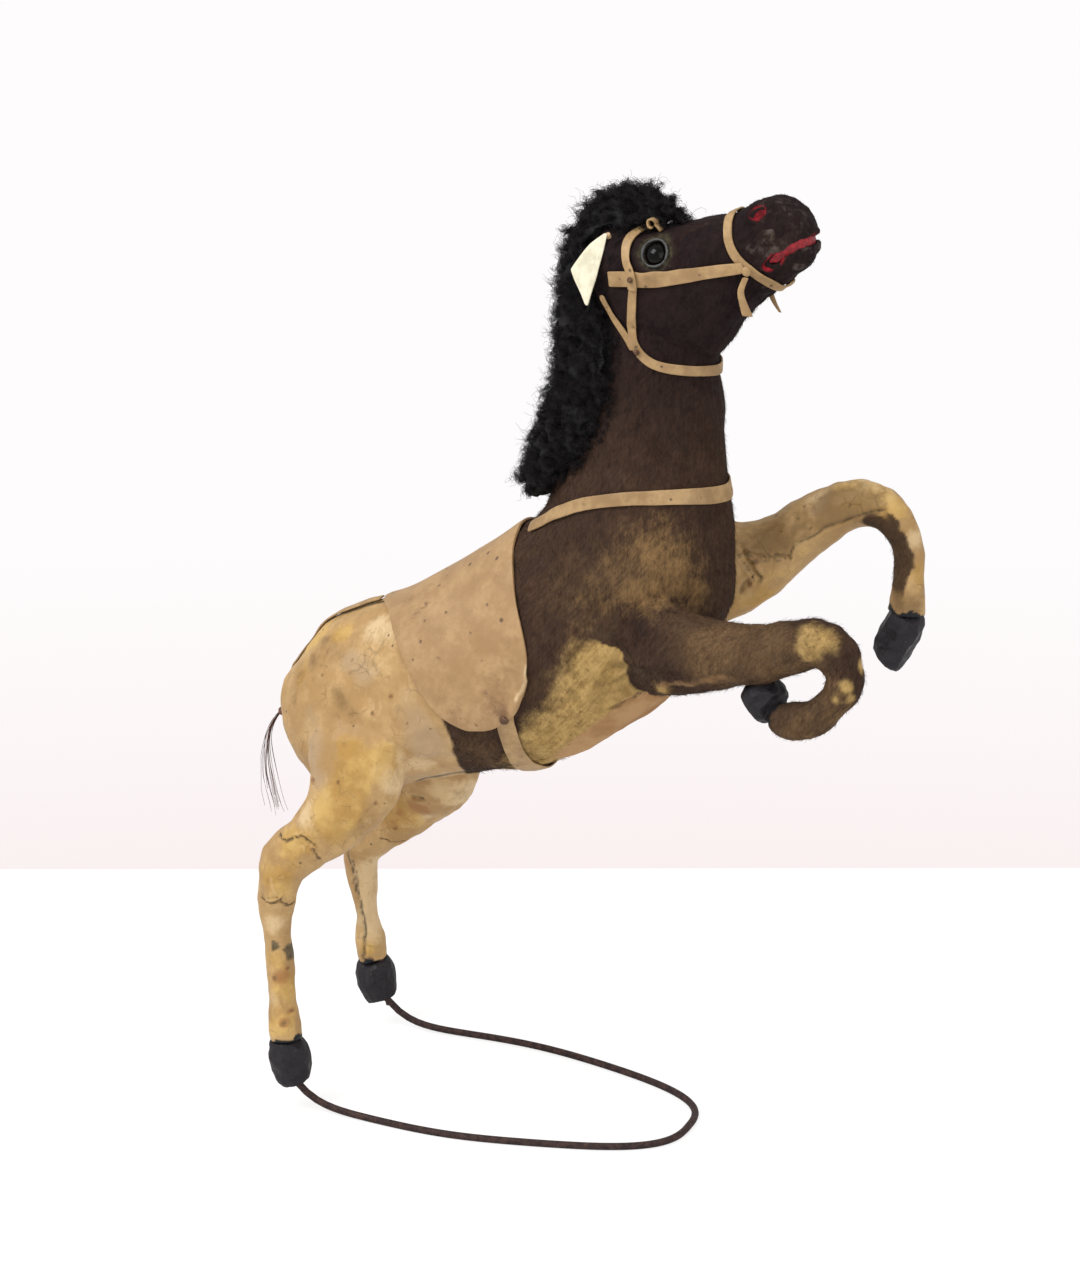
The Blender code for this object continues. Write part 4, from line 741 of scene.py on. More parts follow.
def paintHide(mesh):
    # The layers that the hide's material is mixed from.
    points = places(mesh)
    out = normals(mesh)
    ends = edgesOf(mesh)
    skin = treeOver(mesh)
    part = nearestPart(points)
    x, _, z = points.T
    wander = 0.0012 * ripples(points, 0.012, 21) + 0.0006 * ripples(points, 0.004, 22)
    grain = 0.0004 * ripples(points, 0.0018, 23)
    leg = {name: averagedTimes((part == index).astype(float), ends, 6) for name, index in legParts.items()}
    hind = sum(leg[name] for name in leg if name.startswith(("thigh", "hock", "cannon")))
    fore = sum(leg[name] for name in leg if name.startswith(("forearm", "shin")))
    layers = {name: spots(points, rows) for name, rows in patches.items()}

    dark = easing(x + wander, hide["boundary"] - 0.0005, hide["boundary"] + 0.0005)
    dark = np.clip(dark * (1 - hind) * (1 - leg["forearm_left"]), 0, 1)
    farDark, upper = farForeleg(points, out, leg, fore, wander, grain)
    layers["dark"] = np.clip(np.maximum(dark - leg["shin_left"], 0.92 * farDark), 0, 1)
    layers["fade"] *= 1 - 0.8 * np.clip(spots(points, marks["shoulder"]), 0, 1)
    # The shade layer darkens the fur upwards along the neck towards the head, and in a spot on the shoulder:
    # partly the darker hair there, partly painted shade under the jaw.
    layers["shade"] = (easing(z + 0.25 * x, 0.245, 0.322) * (1 - leg["forearm_left"])
                       + 0.5 * spots(points, marks["shoulderShade"]))

    bare, tan = underside(points, fore, wander)
    layers["olive"] += bare
    rim = easing(0.0012 - alongLine(points, laid(skin, forearmRim)) + grain, -0.0006, 0.0008)
    layers["tan"] = np.maximum(tan, 0.45 * leg["forearm_right"] * rim * easing(-out[:, 2], 0.10, 0.55))

    turned = np.array([[0.87, 0, -0.5], [0, 1, 0], [0.5, 0, 0.87]])
    streaks = 0.5 + 0.5 * ripples((points - [0.062, 0, 0.222]) @ turned * [0.35, 1, 1], 0.0022, 25)
    layers["grime"] += upper * (0.30 + 0.25 * streaks + 0.5 * spots(points, marks["farSeam"]))
    addCracks(layers, points, grain, skin)
    layers["paint"] = overHooves(points, part)
    layers["grey"] = layers["red"] = np.zeros(len(points))
    paintOn(mesh, **layers)


def farForeleg(points, out, leg, fore, wander, grain):
    # A dark strip down the shin with a dark knee, and the worn upper half over a ragged seam.
    x, _, z = points.T
    nearSide = easing(-out[:, 1], -0.55, 0.10)
    strip = (easing(np.interp(z, *edges["shinStrip"]) - x + 0.5 * wander + 1.5 * grain, -0.0004, 0.0006)
             * (0.35 + 0.65 * easing(z + wander, 0.2065, 0.2105)) * leg["shin_left"] * nearSide)
    knee = easing(spots(points, marks["farKnee"]) + 60 * wander, 0.35, 0.6)
    seam = np.interp(x, *edges["farSeam"])
    farLeg = leg["forearm_left"] + leg["shin_left"]
    upper = (easing(z - seam + 0.4 * wander, -0.0004, 0.0006) * farLeg * nearSide
             * easing(seam - z + 0.6 * wander, -0.0135, -0.0075) * easing(-x, -0.1125, -0.1060))
    return np.maximum(strip, knee * fore * nearSide), upper


def underside(points, fore, wander):
    # The chest between the forelegs where olive skin shows, and the tan belly behind it.
    x, y, z = points.T
    under = z - np.interp(x, *edges["belly"])
    chest = (easing(np.interp(z, *edges["chest"]) - x + wander, -0.0006, 0.0008)
             * easing(x + 0.55 * (0.178 - z) + wander, -0.0020, 0.0130)
             * easing(-z, -0.2000, -0.1900) * (1 - fore) * easing(-y, 0.004, 0.010))
    bare = chest * (0.36 + 0.38 * easing(x + 0.5 * (0.178 - z), 0.004, 0.024) + 0.22 * easing(z, 0.172, 0.196)
                    + 0.25 * easing(-z, -0.168, -0.158))
    tan = (easing(-under + 0.5 * wander, -0.0008, 0.0010) * easing(x, 0.001, 0.006)
           * (1 - np.clip(fore * 1.4, 0, 1)) * easing(-z, -0.2010, -0.1950))
    return bare, tan


def addCracks(layers, points, grain, skin):
    # Dark cracks, folds, hairlines, torn places and spots, and a painted shadow on the hide along the crupper
    # strap's near edge.
    x, y, z = points.T
    crack = 0.95 * hump(crackDistance(points, [laid(skin, line) for line in cracks]), 0.00052)
    for line, wide, _, depth in folds:
        away = alongLine(points + 0.6 * grain[:, None], laid(skin, line))
        crack = np.maximum(crack, depth * hump(away, wide * 0.62 * mm))
    for line in hairlines:
        away = alongLine(points + 0.7 * grain[:, None], laid(skin, line))
        crack = np.maximum(crack, 0.42 * hump(away, 0.00036))
    for corners in tears:
        torn = insideOutline(points, corners) + 0.6 * grain
        crack = np.maximum(crack, 0.95 * easing(torn, -0.0003, 0.0003) * (y < -0.030))
    for *place, radius in spotsDark:
        spot = np.array(skin.find_nearest(Vector(place) * mm)[0])
        apart = np.linalg.norm((points - spot) * [1, 0.6, 1], axis=1)
        crack = np.maximum(crack, 0.62 * easing(radius * 0.8 * mm - apart + 0.5 * grain, -0.0003, 0.0004))
        layers["rust"] += 0.9 * hump(apart, radius * 1.5 * mm)
    # Painted shadow: a dark line on the hide beside the crupper strap's near edge.
    crupper = treeOf(("crupper_strap",))[0]
    for i in np.flatnonzero((y < -0.0016) & (y > -0.0050) & (x < -0.066) & (z > 0.145)):
        apart = crupper.find_nearest(Vector(points[i]) - Vector((0, 0, 0.0010)), 0.0060)[3]
        if apart is not None:
            crack[i] = max(crack[i], 1.0 - max(0.0, (-y[i] - 0.0029) / 0.0004))
    layers["crack"] = crack


def overHooves(points, part):
    # Black paint on the hide right above the hooves, up to a ragged edge.
    hooves = treeOf(("hoof_hind_right", "hoof_hind_left", "hoof_fore_right", "hoof_fore_left"))[0]
    paint = np.zeros(len(points))
    low = (part > legParts["hock_right"]) & (points[:, 2] < 0.04)
    edge = 0.0013 + 0.0011 * ripples(points, 0.0024, 24) + 0.0022 * spots(points, marks["hoofEdge"])
    for i in np.flatnonzero(low | (part > legParts["cannon_left"])):
        apart = hooves.find_nearest(Vector(points[i]), 0.006)[3]
        if apart is not None:
            paint[i] = apart < edge[i]
    return paint


def hideFinish():
    if "old_hide" in bpy.data.materials:
        return bpy.data.materials["old_hide"]
    skin = Finish("old_hide", Specular_IOR_Level=0.12, Coat_Roughness=0.38)
    dark = skin.painted("dark")
    blotch = skin.noise(0.016, 4, 0.6)
    mottle = skin.noise(0.007, 5, 0.65)
    fleck = skin.noise(0.0022, 3, 0.6)
    streakUp = skin.noise(0.0010, 4, 0.65, skin.stretch(1, 1, 0.14), 0.5)
    streakDown = skin.noise(0.0010, 4, 0.65, skin.stretch(1, 1, 0.14, tilt=-38), 0.5)
    streak = streakUp * 0.5 + streakDown * 0.5
    olive = skin.step(skin.painted("olive") + (mottle - 0.5) * 0.9 + (streak - 0.5) * 0.2, 0.15, 0.80)
    cracking = skin.step(skin.cells(0.0052, "DISTANCE_TO_EDGE"), 0.024, 0.0) * skin.step(mottle, 0.50, 0.62)
    fur = furTone(skin, blotch, mottle, streak)
    oliveTone = skin.mix(skin.step(streakDown * 0.4 + mottle * 0.6, 0.36, 0.64), (0.300, 0.188, 0.062),
                         (0.50, 0.330, 0.125))
    oliveBlots = skin.step(skin.noise(0.0095, 4, 0.7), 0.50, 0.68)
    oliveTone = skin.mix(oliveBlots * 0.50, oliveTone, (0.23, 0.145, 0.055))
    fur = skin.mix(olive, fur, oliveTone)
    grey = skin.step(skin.painted("grey") + (fleck - 0.5) * 1.6 + (mottle - 0.5) * 1.4, 0.35, 1.1)
    fur = skin.mix(grey * 0.55, fur, (0.125, 0.100, 0.084))

    colour = skin.mix(dark, baldTone(skin, blotch, mottle, fleck, cracking), fur)
    tanTone = skin.mix(skin.step(blotch, 0.4, 0.65), (0.43, 0.255, 0.120), (0.33, 0.175, 0.072))
    colour = skin.mix(skin.painted("tan"), colour, tanTone)
    # Cracks and dark lines, among them the painted shadow beside the crupper strap and the painted shade in
    # the belly's crease.
    crackAndShadeTone = skin.mix(skin.step(fleck, 0.4, 0.65), (0.040, 0.033, 0.020), (0.11, 0.095, 0.055))
    colour = skin.mix(skin.painted("crack") * 0.92, colour, crackAndShadeTone)
    redTone = skin.mix(skin.step(fleck, 0.35, 0.65), (0.13, 0.004, 0.008), (0.30, 0.014, 0.024))
    colour = skin.mix(skin.painted("red"), colour, redTone)
    # Black paint above the hooves, and a little painted shade in the nostril's hole.
    colour = skin.mix(skin.painted("paint"), colour, (0.010, 0.011, 0.014))

    furry = dark * (1 - olive * 0.5)
    height = (streak * furry * 1.0 + mottle * 0.45 + fleck * (1 - dark) * 0.30 - skin.painted("crack") * 0.6
              - cracking * (1 - dark) * 0.2)
    rough = skin.step(skin.noise(0.004, 3), 0.3, 0.7) * 0.16 + 0.50 + furry * 0.25
    return skin.set(Base_Color=colour, Roughness=rough, Coat_Weight=(1 - dark) * 0.22,
                    Normal=skin.bump(height, 0.0007))


def furTone(skin, blotch, mottle, streak):
    # Dark hair, lighter where it has faded and worn, and nearly black where the shade layer lies, which is
    # partly painted shade.
    strands = skin.step(streak * 0.75 + mottle * 0.25, 0.30, 0.72)
    fur = skin.mix(strands, (0.027, 0.0145, 0.0100), (0.086, 0.047, 0.028))
    faded = skin.mix(strands, (0.068, 0.039, 0.020), (0.190, 0.113, 0.055))
    fur = skin.mix(skin.step(skin.painted("fade") + (mottle - 0.5) * 0.5, 0.15, 1.05), fur, faded)
    deepFur = skin.mix(strands, (0.0045, 0.0022, 0.0034), (0.0235, 0.0118, 0.0118))
    fur = skin.mix(skin.painted("shade"), fur, deepFur)
    fur = skin.mix(skin.step(blotch, 0.62, 0.35) * 0.35, fur, (0.026, 0.015, 0.012))
    worn = skin.step(skin.painted("worn") + (streak - 0.5) * 1.2 + (mottle - 0.5) * 1.1, 0.30, 1.05)
    return skin.mix(worn * 0.78, fur, (0.255, 0.150, 0.060))


def baldTone(skin, blotch, mottle, fleck, cracking):
    # Bare hide: two tans, then stains, specks and fine cracks, each with its share and colour.
    bald = skin.mix(skin.step(blotch, 0.38, 0.62), (0.40, 0.240, 0.098), (0.52, 0.335, 0.150))
    bald = skin.mix(skin.step(mottle, 0.60, 0.42) * 0.45, bald, (0.36, 0.220, 0.088))
    pale = skin.step(skin.painted("pale") + (mottle - 0.5) * 1.3, 0.25, 0.85)
    bald = skin.mix(pale, bald, (0.63, 0.455, 0.250))
    ochre = skin.step(skin.painted("ochre") + (mottle - 0.5) * 1.7, 0.30, 0.80)
    ochreTone = skin.mix(skin.step(blotch, 0.40, 0.60), (0.44, 0.250, 0.060), (0.60, 0.385, 0.120))
    bald = skin.mix(ochre * 0.72, bald, ochreTone)
    ash = skin.step(skin.painted("ash") + (mottle - 0.5) * 0.9, 0.20, 0.90)
    stain = skin.step(skin.noise(0.0085, 5, 0.7, skin.stretch(1.3, 1, 0.7), 0.7), 0.54, 0.68)
    clean = skin.step(skin.noise(0.0062, 5, 0.7, skin.stretch(1.2, 1, 0.7), 0.8), 0.58, 0.72)
    soiled = skin.step(skin.noise(0.0030, 5, 0.75, None, 0.6), 0.58, 0.74)
    specks = skin.step(skin.cells(0.0068, "F1"), 0.105, 0.055) * skin.step(skin.noise(0.011, 2), 0.45, 0.55)
    rust = skin.step(skin.painted("rust") + (fleck - 0.5) * 0.7, 0.2, 0.9)
    grime = skin.step(skin.painted("grime") + (mottle - 0.5) * 1.0 + (fleck - 0.5) * 0.8, 0.2, 0.95)
    for mask, share, tone in ((ash, 0.60, (0.42, 0.300, 0.185)), (stain, 0.40, (0.33, 0.195, 0.066)),
                              (clean, 0.38, (0.64, 0.47, 0.265)), (soiled, 0.30, (0.23, 0.135, 0.050)),
                              (specks, 0.8, (0.085, 0.048, 0.025)), (cracking, 0.35, (0.16, 0.095, 0.045)),
                              (rust, 0.62, (0.30, 0.120, 0.042)), (grime, 0.72, (0.185, 0.108, 0.042))):
        bald = skin.mix(mask * share, bald, tone)
    return bald


# The head

# Places in millimetres, and how far and for how many rounds the skin is evened out at the nostril
face = {"eye": (39.9, -16.5, 328.6), "nostril": (72.6, -8.2, 342.6), "nostrilHole": (74.0, -8.2, 342.9),
        "nostrilReach": 0.0036, "nostrilRounds": 150}

mouthLine = ((76.2, -10.0, 325.9), (78.6, -9.2, 327.6), (81.5, -8.4, 329.8), (85.5, -6.6, 332.1),
             (89.6, -1.5, 334.5))

# Half of the mouth's height: along x in metres
mouthGape = ((0.0755, 0.0785, 0.0820, 0.0865, 0.0905), (0.0010, 0.0027, 0.0030, 0.0024, 0.0014))


def makeHeadHide():
    skin = skinOf("head_skin", ("head",), hide["headVoxel"])
    mesh = skin.data
    ends = edgesOf(mesh)
    points = relaxed(places(mesh), ends, 4)
    putBack(mesh, points)
    out = normals(mesh)
    aside = onRight(points)
    fromEye = np.linalg.norm((aside - np.array(face["eye"]) * mm) * [1, 0.7, 1], axis=1)
    fromNostril = np.linalg.norm((aside - np.array(face["nostril"]) * mm) * [0.82, 1, 1.05], axis=1)
    lift = 0.00024 * ripples(points, 0.010, 31) + 0.00012 * ripples(points, 0.004, 32)
    lift += 0.0009 * hump(fromEye - 0.0070, 0.0016)
    shallow = np.flatnonzero(fromNostril < face["nostrilReach"])
    for _ in range(face["nostrilRounds"]):
        points[shallow] = averaged(points, ends, len(points))[shallow]
    lift += 0.0007 * hump(fromNostril - 0.0038, 0.0010) - 0.0010 * hump(fromNostril, 0.0022)
    muzzle = easing(points[:, 0], 0.064, 0.074)
    lift += muzzle * (0.00042 * ripples(points, 0.0048, 33) + 0.00026 * ripples(points, 0.0024, 34))
    lift += spotLift(aside, lifts["head"])
    putBack(mesh, points + out * (lift - hide["grow"])[:, None])
    lips = alongLine(aside, mouthLine) - 0.00012 * ripples(points, 0.0025, 35)
    wedge = np.interp(points[:, 0], *mouthGape)
    points = places(mesh)
    putBack(mesh, points + out * (0.0007 * hump(lips - wedge - 0.0002, 0.0008))[:, None])

    hole = np.linalg.norm((aside - np.array(face["nostrilHole"]) * mm) * [1, 1, 1.1], axis=1)
    zero = np.zeros(len(points))
    layers = dict.fromkeys(patches, zero)
    layers["dark"] = zero + 1
    layers["tan"] = zero
    layers["worn"] = spots(aside, marks["headWorn"])
    layers["grey"] = easing(points[:, 0], 0.064, 0.080) * 0.42 + spots(aside, marks["headGrey"])
    # The head's fur takes the shade layer all over, less on the face before the eye and on the muzzle: partly
    # the darker hair of the head, partly painted shade on the cheek.
    layers["shade"] = zero + 1.12 - 0.5 * spots(aside, marks["headShade"])
    layers["crack"] = 0.75 * hump(fromEye - 0.0052, 0.0010)
    layers["red"] = np.maximum(0.8 * easing(0.0028 - fromNostril, -0.0003, 0.0003),
                               easing(wedge - lips, -0.0003, 0.0003))
    # A darker centre in the nostril: painted shade in its hole, on the black paint layer.
    layers["paint"] = 0.28 * easing(0.0015 - hole, -0.0012, 0.0010)
    paintOn(mesh, **layers)
    dress(skin, hideFinish(), "horse", ("head",))


# Short hair on the dark hide

fuzz = {
    "body": 42000,             # hairs on the body and legs
    "head": 11000,
    "each": 14000,             # hairs in one piece
    "length": 0.0017,
    "thick": 0.000045,
    "rise": 0.22,              # how much they stand up
    "shades": 0.22,            # how much lighter or darker than the skin one is
}

# The way the hair lies: in general, along the forearms, down the shins and back along the head
lie = {
    "body": (0.55, 0.0, -0.8),
    "arm": (1.0, 0.0, -0.25),
    "shin": (-0.35, 0.0, -0.95),
    "head": (-0.8, 0.0, -0.35),
}

# Hair keeps clear of the nodes with these words in their names
noHair = ("strap", "band", "lash", "knot", "stub", "saddle", "mane", "mouth_lining", "ear_", "eye_")


def paintOf(mesh):
    # The painted layers of a mesh, by name.
    values = {}
    for layer in mesh.attributes:
        if layer.data_type == "FLOAT" and layer.domain == "POINT":
            values[layer.name] = np.zeros(len(mesh.vertices), np.float32)
            layer.data.foreach_get("value", values[layer.name])
    return values


def makeFuzz():
    # Flat-lying hairs that carry the paint of the skin under them.
    chance = np.random.default_rng(17)
    harness = treeOf([name for name in frame["nodes"] if any(word in name for word in noHair)])[0]
    for name, count, scale in (("body_hide_skin", fuzz["body"], 1.0), ("head_skin", fuzz["head"], 0.6)):
        mesh = bpy.data.objects[name].data
        points = places(mesh)
        out = normals(mesh)
        values = paintOf(mesh)
        furry = np.flatnonzero((values["dark"] > 0.6) & (values["red"] < 0.2) & (values["paint"] < 0.2)
                               & (values["tan"] < 0.4) & (values["crack"] < 0.5))
        if name == "body_hide_skin":
            furry = furry[points[furry, 2] < hide["headFrom"]]
        roots = chance.choice(furry, count)
        roots = roots[[harness.find_nearest(Vector(points[i]), 0.0009)[3] is None for i in roots]]
        x, z = points[roots, 0], points[roots, 2]
        flow = np.tile(lie["body"], (len(roots), 1))
        onArm = easing(x, 0.060, 0.070) * (z < 0.23)
        flow += onArm[:, None] * (np.array(lie["arm"]) - flow)
        onShin = onArm * (easing(x, 0.108, 0.114) + easing(-z, -0.190, -0.184)).clip(0, 1)
        flow += onShin[:, None] * (np.array(lie["shin"]) - flow)
        if name == "head_skin":
            flow = np.tile(lie["head"], (len(roots), 1))
        up = out[roots]
        heading = flow - (flow * up).sum(1)[:, None] * up
        heading /= np.linalg.norm(heading, axis=1, keepdims=True) + 1e-9
        heading = heading + fuzz["rise"] * up + chance.normal(scale=0.28, size=heading.shape)
        heading /= np.linalg.norm(heading, axis=1, keepdims=True)
        length = (fuzz["length"] * scale * chance.uniform(0.5, 1.4, len(roots)))[:, None]
        base = points[roots] - 0.0001 * up
        paths = np.stack([base, base + heading * length * 0.55 + up * length * 0.04,
                          base + heading * length - up * length * 0.04], axis=1)
        radii = fuzz["thick"] * np.array([1.0, 0.8, 0.25])[None] * np.ones((len(roots), 1))
        lighter = chance.uniform(-fuzz["shades"], fuzz["shades"], len(roots))
        for number, first in enumerate(range(0, len(roots), fuzz["each"])):
            some = slice(first, first + fuzz["each"])
            vertices, faces = tubes(paths[some], radii[some])
            own = f"{name.replace('skin', 'hairs')}_{number + 1}"
            hairs = newPiece(own, vertices, faces, hideFinish(), "horse")
            for layer, value in values.items():
                value = value[roots[some]] + lighter[some] * {"fade": 1.0, "worn": 0.5}.get(layer, 0.0)
                paintOn(hairs.data, **{layer: np.repeat(value, 9)})


# Pieces that take a CAD node's shape and soften it

def softened(node, material, bevel=0.00016, levels=2, ripple=0.00006, size=0.005, shape=None, follow=0):
    # A CAD node's mesh in quads, with rounded edges, a smooth surface and a little waviness.
    # With follow it also lies on the dressed hide, evened out over that many rounds.
    work = bmesh.new()
    work.from_mesh(frame["nodes"][node].data)
    bmesh.ops.remove_doubles(work, verts=work.verts, dist=1e-6)
    bmesh.ops.join_triangles(work, faces=work.faces, angle_face_threshold=0.6, angle_shape_threshold=1.2,
                             cmp_seam=False, cmp_sharp=False, cmp_uvs=False, cmp_vcols=False,
                             cmp_materials=False)
    thing = linked(node + "_dressed", meshFrom(work, node + "_dressed"))
    if bevel:
        edge = thing.modifiers.new("edge", "BEVEL")
        edge.width = bevel
        edge.segments = 1
        edge.limit_method = "ANGLE"
        edge.angle_limit = math.radians(35)
    smooth = thing.modifiers.new("smooth", "SUBSURF")
    smooth.levels = levels
    smooth.subdivision_type = "SIMPLE"
    bpy.context.view_layer.update()
    plain = places(thing.evaluated_get(bpy.context.evaluated_depsgraph_get()).data)
    smooth.subdivision_type = "CATMULL_CLARK"
    bake(thing)
    mesh = thing.data
    points = places(mesh)
    out = normals(mesh)
    if follow:
        points = points + lying(plain, points, edgesOf(mesh), follow)
    seed = sum(ord(letter) for letter in node)
    points = points + ripple * ripples(points, size, seed)[:, None] * out
    if shape:
        points = shape(points, out)
    putBack(mesh, points)
    mesh.shade_smooth()
    source = frame["nodes"][node]
    return dress(thing, material, body_of(source)[0], (node,))


skins = {}


def lying(plain, points, ends, rounds):
    # The moves that bring a piece as high over the dressed skins as it is over the CAD ones.
    if not skins:
        skins["solid"] = [treeOf(bodyParts + ("head",))[0]]
        skins["dressed"] = [treeOver(bpy.data.objects[name].data) for name in skinNames]
    over = heightsOver(skins["solid"], plain)[0]
    now, outward = heightsOver(skins["dressed"], points)
    shift = np.where((np.abs(over) < 0.004) & (np.abs(now) < 0.005), over - now, 0)
    return averagedTimes(shift, ends, rounds)[:, None] * averagedTimes(outward, ends, 3)


# Leather

leather = {
    "tan": (0.43, 0.275, 0.125),
    "tanDark": (0.27, 0.160, 0.065),
    "saddle": (0.425, 0.262, 0.120),
    "saddleDark": (0.325, 0.188, 0.078),
}


def leatherFinish(name, colour, deep, speck):
    skin = Finish(name)
    patch = skin.noise(0.012, 4, 0.6)
    grain = skin.noise(0.0009, 3, 0.6)
    mottle = skin.noise(0.003, 4, 0.65)
    tone = skin.mix(skin.step(patch, 0.35, 0.68), colour, deep)
    tone = skin.mix(skin.step(mottle, 0.35, 0.72) * 0.50, tone, deep)
    soiled = skin.step(skin.noise(0.0018, 5, 0.75, None, 0.5), 0.57, 0.74)
    tone = skin.mix(soiled * 0.28, tone, (0.20, 0.110, 0.045))
    dirt = skin.step(skin.cells(speck, "F1"), 0.17, 0.07) * skin.step(skin.noise(0.006, 2), 0.42, 0.54)
    tone = skin.mix(dirt * 0.85, tone, (0.085, 0.045, 0.022))
    smear = skin.step(skin.noise(0.0055, 4, 0.7, skin.stretch(1.7, 0.6, 0.8), 0.3), 0.60, 0.74)
    tone = skin.mix(smear * 0.35, tone, (0.26, 0.150, 0.065))
    soil = skin.step(skin.painted("soil") + (mottle - 0.5) * 0.8 + (grain - 0.5) * 0.5, 0.15, 1.0)
    tone = skin.mix(soil * 0.80, tone, (0.165, 0.080, 0.032))
    edge = skin.step(skin.painted("edge") + (mottle - 0.5) * 0.5, 0.35, 0.9)
    tone = skin.mix(edge, tone, (0.60, 0.43, 0.235))
    rough = 0.62 - skin.step(patch, 0.3, 0.7) * 0.12
    relief = grain * 0.4 + mottle * 0.6 - dirt
    return skin.set(Base_Color=tone, Roughness=rough, Normal=skin.bump(relief, 0.00022))


def pulled(points, ends):
    # Stretches what lies within reach of a start point so that the start comes to its target.
    for start, target, reach in ends:
        start = np.array(start) * mm
        share = easing(reach * mm - np.linalg.norm(points - start, axis=1), 0, reach * mm)
        points = points + share[:, None] * (np.array(target) * mm - start)
    return points


# Strap ends that are drawn out: a place on the CAD strap, where it comes to, and how far around it is drawn
strapEnds = {
    "cheek_strap": (((64.5, -12.6, 323.7), (69.8, -12.6, 324.9), 9),),
    "throat_lash": (((33.5, -17.2, 315.3), (33.4, -17.6, 317.6), 7),),
    "browband": (((33.5, -17.6, 318.1), (33.6, -17.9, 314.4), 6),),
    "poll_strap": (((26.1, -15.8, 306.7), (21.0, -16.4, 313.0), 6),
                   ((28.6, -16.2, 299.5), (33.4, -17.4, 295.2), 7)),
}


def curledEdge(points, out):
    # The flap's front edge near each girth strap curls away from the hide.
    away = alongLine(onRight(points), ((-0.8, -33, 178.5), (-1.0, -33.5, 171.5), (-4.5, -33.6, 164.5)))
    return points + out * (0.0014 * hump(away, 0.0022))[:, None]


def makeHarness():
    strapFinish = leatherFinish("old_strap_leather", leather["tan"], leather["tanDark"], 0.0045)
    for node in ("cheek_strap_right", "cheek_strap_left", "poll_strap_right", "poll_strap_left", "noseband",
                 "browband", "throat_lash", "breast_strap", "crupper_strap", "girth_strap",
                 "rein_stub_right", "rein_stub_left", "bit_knot_right", "bit_knot_left"):
        ends = strapEnds.get(node.removesuffix("_right").removesuffix("_left"), ())
        both = [*ends] + [((a[0], -a[1], a[2]), (b[0], -b[1], b[2]), reach) for a, b, reach in ends]
        loose = node.startswith(("rein_stub", "bit_knot"))
        softened(node, strapFinish, shape=lambda points, out: pulled(points, both), follow=0 if loose else 3)
    metal = brownMetalFinish()
    for kind in ("cheek_tack", "throat_tack", "girth_stud"):
        for side in ("right", "left"):
            softened(f"{kind}_{side}", metal, bevel=0.0003, levels=3, ripple=0.00004, size=0.0015, follow=60)
    makeCurl(strapFinish)


def makeCurl(finish):
    # The browband's loose end, rolled up on the forehead.
    path = [(39.9, 334.7), (39.2, 335.5), (38.3, 336.3)]
    for turn in np.radians(np.arange(-20, 300, 16)):
        path.append((36.6 + 1.45 * math.cos(turn), 337.0 + 1.45 * math.sin(turn)))
    path = np.array(path) * mm
    heading = np.gradient(path, axis=0)
    heading /= np.linalg.norm(heading, axis=1, keepdims=True)
    aside = np.stack([-heading[:, 1], heading[:, 0]], axis=1) * 0.00032
    rings = []
    for k, (spot, edge) in enumerate(zip(path, aside)):
        middle = -0.0105 + 0.0004 * math.sin(k * 0.5)
        rings.append([(spot[0] + s * edge[0], middle + w, spot[1] + s * edge[1])
                      for s, w in ((1, -0.0014), (1, 0.0014), (-1, 0.0014), (-1, -0.0014))])
    vertices = [corner for ring in rings for corner in ring]
    faces = [(4 * k + j, 4 * k + (j + 1) % 4, 4 * k + 4 + (j + 1) % 4, 4 * k + 4 + j)
             for k in range(len(rings) - 1) for j in range(4)]
    faces += [(3, 2, 1, 0), tuple(4 * (len(rings) - 1) + j for j in range(4))]
    newPiece("browband_curl", vertices, faces, finish, "horse")


def brownMetalFinish():
    metal = Finish("brown_tarnished_metal", Metallic=0.6)
    rust = metal.noise(0.0012, 4, 0.7)
    tone = metal.mix(metal.step(rust, 0.35, 0.65), (0.055, 0.030, 0.018), (0.19, 0.10, 0.055))
    return metal.set(Base_Color=tone, Roughness=metal.step(rust, 0.3, 0.7) * 0.3 + 0.35,
                     Normal=metal.bump(rust, 0.0002))


# The saddle's dirt: a scratch with two arms, soiled places and small specks, and the flap's pale front edge
saddleMarks = {
    "scratch": ((-43.2, -19, 198.9), (-44.7, -19.7, 196), (-47.8, -20.5, 192)),
    "secondScratch": ((-45.8, -19, 197), (-47.6, -20, 193.8)),
    "soil": (
        (-55.8, -12.5, 195.6, 1.3, 0.8), (-7, -34.8, 166.5, 3.0, 0.75), (-9.5, -34.6, 170, 5, 0.40),
        (-11, -34, 176, 8, 0.22), (-8, -33, 183, 9, 0.18), (-52.5, -14.9, 195.9, 2.2, 0.5),
        (-31.6, -34.6, 168, 10, 0.20), (-20, -34.5, 163, 9, 0.22), (-38, -26, 186, 8, 0.20),
        (-14, -22, 211, 8, 0.18), (-2.3, -31.6, 193, 6, 0.2)),
    "specks": (
        (-33.6, -30.9, 181.9, 0.7), (-32, -28.8, 188, 0.5), (-14, -31.5, 184.5, 0.45),
        (-9.5, -28, 199, 0.4), (-24, -34, 162.5, 0.5), (-18, -34, 160.5, 0.5), (-40, -16, 203, 0.4),
        (-30, -24, 197, 0.35), (-26, -32, 178, 0.45), (-6, -24, 209, 0.4)),
    "paleEdge": ((1.2, -32.8, 184.3), (0.1, -33.2, 179.0), (-2.3, -34.0, 172.0)),
}


